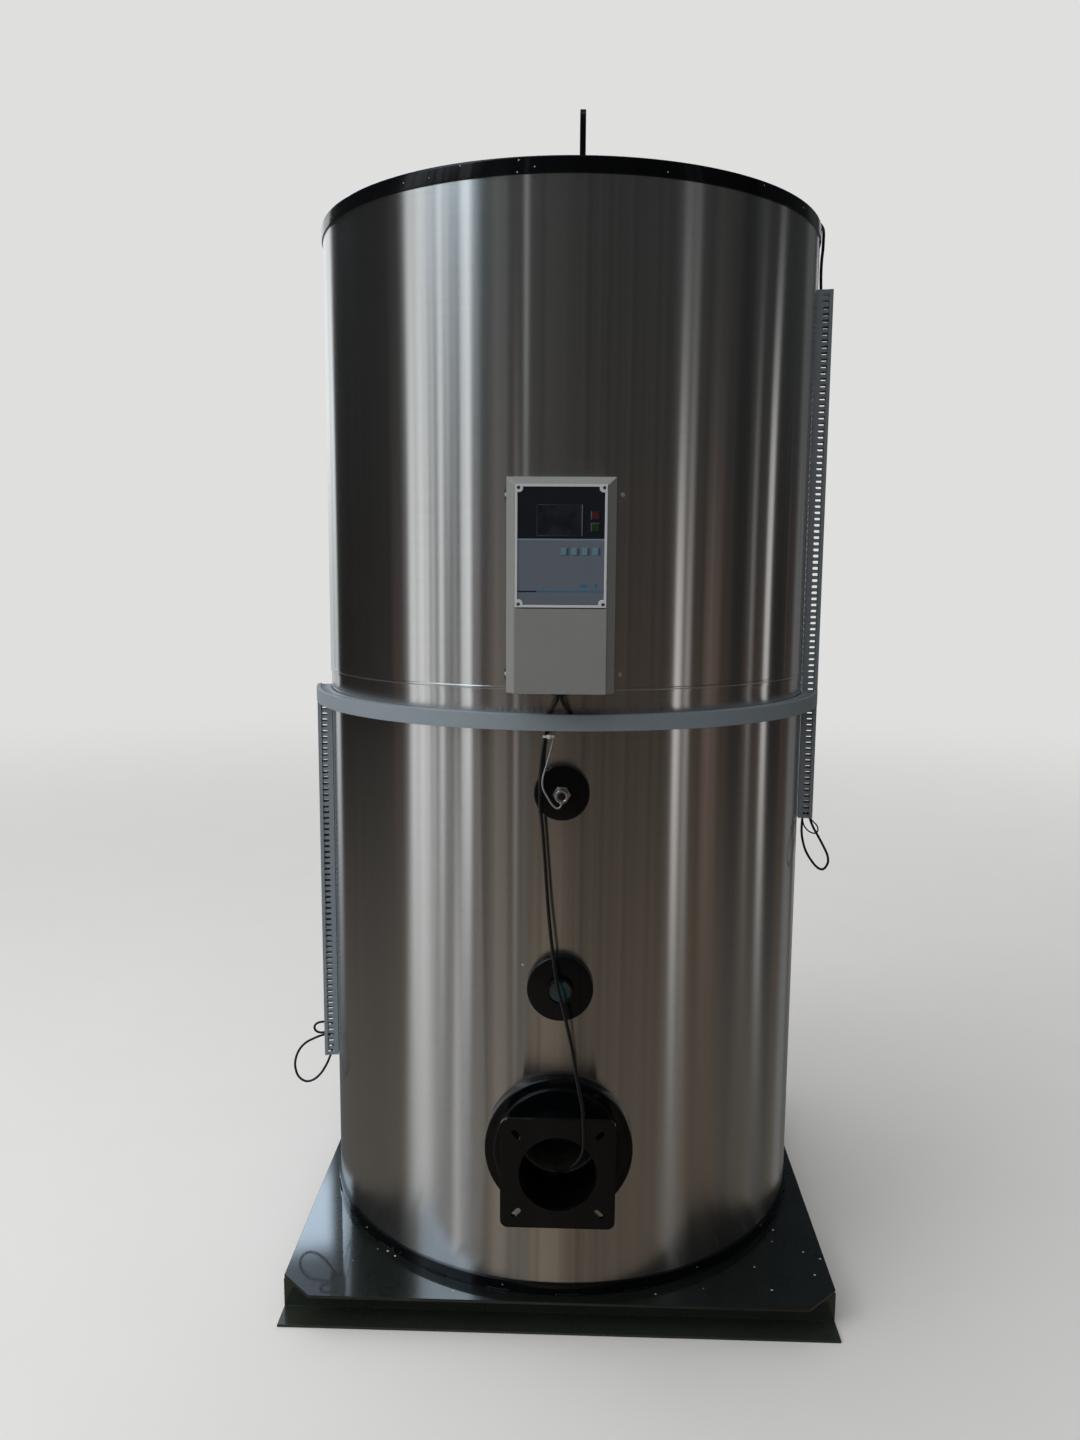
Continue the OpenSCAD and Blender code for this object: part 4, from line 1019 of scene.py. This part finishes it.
class BOILER_OT_make_leads(bpy.types.Operator):
    """Lay every lead along its route"""

    bl_idname = "boiler.make_leads"
    bl_label = "Leads"

    def execute(self, context):
        size = context.scene.boiler_leads
        free_lead("burner_cable", "burner_lead", BURNER_LEAD, size.burner)
        free_lead("sensor_cable", "sensor_lead", SENSOR_LEAD, size.sensor, "silver_lead")
        free_lead("rim_cable", "top_lead", TOP_LEAD, size.top)
        free_lead("left_spare_cable", "left_loop", LEFT_LOOP, size.spare)
        free_lead("left_small_cable", "left_small_loop", LEFT_SMALL_LOOP, size.spare)
        free_lead("right_spare_cable", "right_loop", RIGHT_LOOP, size.spare)
        free_lead("right_thin_cable", "right_thin_loop", RIGHT_THIN_LOOP, size.sensor)
        routes = [smooth_route(LEFT_BOX_LEAD), smooth_route(RIGHT_BOX_LEAD)]
        place_piece(lead_curve("box_cables", routes, size.box), "black_rubber", "box_leads")
        outline = []
        for (x, y), radius, first in TIE_TURNS:
            turns = [math.radians(first + 15 * step) for step in range(13)]
            outline += [(x + radius * math.cos(turn), y + radius * math.sin(turn)) for turn in turns]
        band("lead_tie", outline, "white_nylon", low=1116.0, high=1120.5, thickness=1.0)
        slabs("lead_tie_head", TIE_HEAD, "white_nylon", 0.4)
        return {"FINISHED"}


class BOILER_OT_make_base(bpy.types.Operator):
    """Finish the base plate, its angles and the skirt"""

    bl_idname = "boiler.make_base"
    bl_label = "Base"

    def execute(self, context):
        rounded(1.2, "base_plate")
        # The angles take the lighter copy of the plate's paint: painted light on their front faces.
        rounded(1.2, "cross_angles", "side_angles", material_name="lit_angle_paint")
        rounded(1.0, "skirt")
        plate = [((x, y, PLATE_TOP), (0.0, 0.0, 1.0)) for x, y in PLATE_DROPS]
        scattered("plate_drops", plate, "pale_drops", size=3.4, height=0.3, spread=0.45, seed=3)
        skirt = round_points(SKIRT_RADIUS, SKIRT_DROPS)
        scattered("skirt_drops", skirt, "pale_drops", size=2.2, height=0.3, spread=0.4, seed=5)
        spots = []
        for stitch in range(WELD_STITCHES):
            start = 360 / WELD_STITCHES * stitch
            spots += [(WELD_HEIGHT, start + WELD_STEP * drop) for drop in range(WELD_DROPS)]
        weld = round_points(WELD_RADIUS, spots)
        scattered("skirt_weld", weld, "black_enamel", size=7.0, height=1.6, spread=0.15, seed=8)
        return {"FINISHED"}


class BOILER_OT_make_body(bpy.types.Operator):
    """Finish the vessel and the cladding sheets"""

    bl_idname = "boiler.make_body"
    bl_label = "Body"

    def execute(self, context):
        dress_nodes("boiler_vessel", "lower_jacket", "upper_jacket")
        make_jacket_bead()
        seam = []
        for radius, levels in ((UPPER_SHEET_RADIUS, UPPER_SEAM), (LOWER_SHEET_RADIUS, LOWER_SEAM)):
            spots = [(z, SEAM_AZIMUTH) for z in range(*levels, SEAM_PITCH)]
            seam += round_points(radius + LAP_THICKNESS - SUNK, spots)
        scattered("seam_rivets", seam, "zinc", size=7.0, height=0.9)
        scattered("jacket_rivet", [FRONT_RIVET], "zinc", size=4.0, height=0.7)
        return {"FINISHED"}


class BOILER_OT_make_top(bpy.types.Operator):
    """Finish the rim, the top plate and what stands on it"""

    bl_idname = "boiler.make_top"
    bl_label = "Top"

    def execute(self, context):
        rounded(2.0, "top_rim", segments=3)
        dress_nodes("top_plate")
        rounded(0.8, "flue_collar", "lifting_lugs", "relief_socket", "top_gland")
        # Paint bumps on the rim whose pale tone is partly a painted highlight for their glints
        rim = round_points(RIM_RADIUS, RIM_DROPS_AND_GLINTS)
        scattered("rim_drops_and_glints", rim, "pale_drops", size=2.0, height=0.3, spread=0.4, seed=11)
        return {"FINISHED"}


class BOILER_OT_make_ports(bpy.types.Operator):
    """Finish the burner, sight and sensor ports"""

    bl_idname = "boiler.make_ports"
    bl_label = "Ports"

    def execute(self, context):
        rounded(1.5, "burner_collar", segments=3)
        rounded(0.8, "burner_tube")
        rounded(1.2, "burner_plate", segments=3)
        rounded(0.8, "sight_collar", "sensor_collar", "sight_pipe", "sight_glass")
        rounded(1.4, "sensor_fitting", segments=3)
        place_piece(lead_curve("sensor_ring", [front_circle(9.6)], 0.0034), "bright_metal")
        centre = ((0.0, SENSOR_FACE - 0.5, SENSOR_HEIGHT), (0.0, -1.0, 0.0))
        scattered("sensor_centre", [centre], "black_rubber", size=14.0, height=1.0)
        return {"FINISHED"}


class BOILER_OT_make_ducts(bpy.types.Operator):
    """Finish the wiring ducts and their covers"""

    bl_idname = "boiler.make_ducts"
    bl_label = "Ducts"

    def execute(self, context):
        for node in ("ring_duct", "left_duct", "right_duct"):
            dress_nodes(node)
            rounded(0.5, node + "_cover")
        return {"FINISHED"}


def make_panel_films():
    """The plain coloured films, lines and edges on the controller's panel, in millimetres."""
    low, high = box_mm("control_panel")
    back = low.y + 1.5
    left, right = low.x + FILM_MARGIN, high.x - FILM_MARGIN

    def flat(x0, x1, z0, z1, height):
        return (x0, back - height, z0), (x1, back + 0.2, z1)

    slabs("panel_upper_film", [flat(left, right, FILM_SPLIT[1], high.z - FILM_MARGIN, 0.3)], "panel_black")
    slabs("panel_lower_film", [flat(left, right, low.z + FILM_MARGIN, FILM_SPLIT[0], 0.25)],
          "panel_blue_grey")
    slabs("panel_pale_lines", [flat(left, right, *PALE_LINE, 0.4)], "panel_pale_blue")
    blue = [flat(BLACK_LINE_END, right, *BLUE_LINE, 0.4)] + [flat(*bar, 0.4) for bar in BLUE_BARS]
    slabs("panel_blue_lines", blue, "panel_blue")
    slabs("panel_black_line", [flat(left, BLACK_LINE_END, *BLACK_LINE, 0.45)], "panel_black")


def make_display_edges():
    """The thin bright edge and the bar of the display."""
    low, high = box_mm("control_display")
    front = low.y
    sides = ((low.x, low.z, high.x, low.z + BEZEL), (low.x, high.z - BEZEL, high.x, high.z),
             (low.x, low.z, low.x + BEZEL, high.z))
    slabs("display_bezel", [((x0, front - 0.3, z0), (x1, front + 0.5, z1)) for x0, z0, x1, z1 in sides],
          "screw_steel", 0.15)
    bar = ((high.x - 2.0, front - 0.5, low.z), (high.x - 0.6, front + 0.5, high.z))
    slabs("display_bar", [bar], "panel_blue_grey", 0.2)


def make_button_edges():
    """The frames beside the two buttons, and a darker strip on the right part of each key: painted shade."""
    edges = []
    for node in ("stop_button", "start_button"):
        low, high = box_mm(node)
        front, back = low.y + 0.3, low.y + 1.7
        edges.append(((low.x - 1.4, front, low.z - 0.6), (low.x - 0.4, back, high.z + 0.6)))
    edges.append(((low.x - 1.4, front, high.z + 0.4), (high.x + 0.4, back, high.z + 1.2)))
    slabs("button_edges", edges, "panel_blue_grey", 0.15)
    # A darker strip on each key: painted shade
    low, high = box_mm("control_keys")
    shades = []
    for i in range(4):
        first, last = (low.x + KEY_PITCH * i + side for side in KEY_PAINTED_SHADE)
        shades.append(((first, low.y - 0.15, low.z + 0.4), (last, low.y + 0.4, high.z - 0.4)))
    slabs("key_painted_shades", shades, "key_painted_shade", 0.1)


class BOILER_OT_make_control_box(bpy.types.Operator):
    """Finish the control box, its panel and its rails"""

    bl_idname = "boiler.make_control_box"
    bl_label = "Control Box"

    def execute(self, context):
        rounded(1.2, "control_box", segments=3)
        rounded(0.8, "control_lower_cover")
        rounded(0.5, "control_panel", material_name="panel_frame")
        rounded(0.4, "control_display")
        rounded(0.3, "control_keys")
        rounded(0.4, "stop_button", "start_button")
        rounded(0.8, "box_grommet")
        rounded(0.5, "box_rails")
        make_panel_films()
        make_display_edges()
        make_button_edges()
        forward = (0, -1, 0)
        rails = [((x, RAIL_FACE, z), forward) for x in (-97, 97) for z in (1527, 1225)]
        scattered("rail_screws", rails, "zinc", size=7.5, height=2.2, seed=4, kind="cross_screws")
        corners = [((x, PANEL_FACE, z), forward) for x in (-72.5, 64.5) for z in (1347.5, 1532.5)]
        scattered("panel_screws", corners, "screw_steel", size=6.0, height=0.8, seed=6, kind="cross_screws")
        return {"FINISHED"}


class BOILER_OT_make_rear(bpy.types.Operator):
    """Finish the nozzles, flanges and drain at the rear"""

    bl_idname = "boiler.make_rear"
    bl_label = "Rear Fittings"

    def execute(self, context):
        rounded(0.8, "supply_nozzle", "return_nozzle", "supply_flange", "return_flange", "nozzle_plates",
                "drain_socket")
        return {"FINISHED"}


STEPS = (
    BOILER_OT_make_finishes, BOILER_OT_make_camera, BOILER_OT_make_stage, BOILER_OT_make_leads,
    BOILER_OT_make_base, BOILER_OT_make_body, BOILER_OT_make_top, BOILER_OT_make_ports,
    BOILER_OT_make_ducts, BOILER_OT_make_control_box, BOILER_OT_make_rear,
)


class BOILER_PT_pieces(bpy.types.Panel):
    """The boiler's pieces and finishes"""

    bl_label = "Vertical Boiler"
    bl_idname = "BOILER_PT_pieces"
    bl_space_type = "VIEW_3D"
    bl_region_type = "UI"
    bl_category = "Boiler"

    def draw(self, context):
        for group in (context.scene.boiler_finish, context.scene.boiler_leads, context.scene.boiler_stage):
            box = self.layout.box()
            for name in group.__annotations__:
                box.prop(group, name)
        for step in STEPS:
            self.layout.operator(step.bl_idname)


CLASSES = (BoilerFinish, BoilerLeads, BoilerStage, *STEPS, BOILER_PT_pieces)


def register():
    """Registers the classes and their settings."""
    for cls in CLASSES:
        bpy.utils.register_class(cls)
    bpy.types.Scene.boiler_finish = bpy.props.PointerProperty(type=BoilerFinish)
    bpy.types.Scene.boiler_leads = bpy.props.PointerProperty(type=BoilerLeads)
    bpy.types.Scene.boiler_stage = bpy.props.PointerProperty(type=BoilerStage)


def unregister():
    """Takes the classes and their settings off again."""
    del bpy.types.Scene.boiler_stage
    del bpy.types.Scene.boiler_leads
    del bpy.types.Scene.boiler_finish
    for cls in reversed(CLASSES):
        bpy.utils.unregister_class(cls)


def main():
    """Makes every piece in order."""
    register()
    for step in STEPS:
        group, call = step.bl_idname.split(".")
        getattr(getattr(bpy.ops, group), call)()


if __name__ == "__main__":
    main()
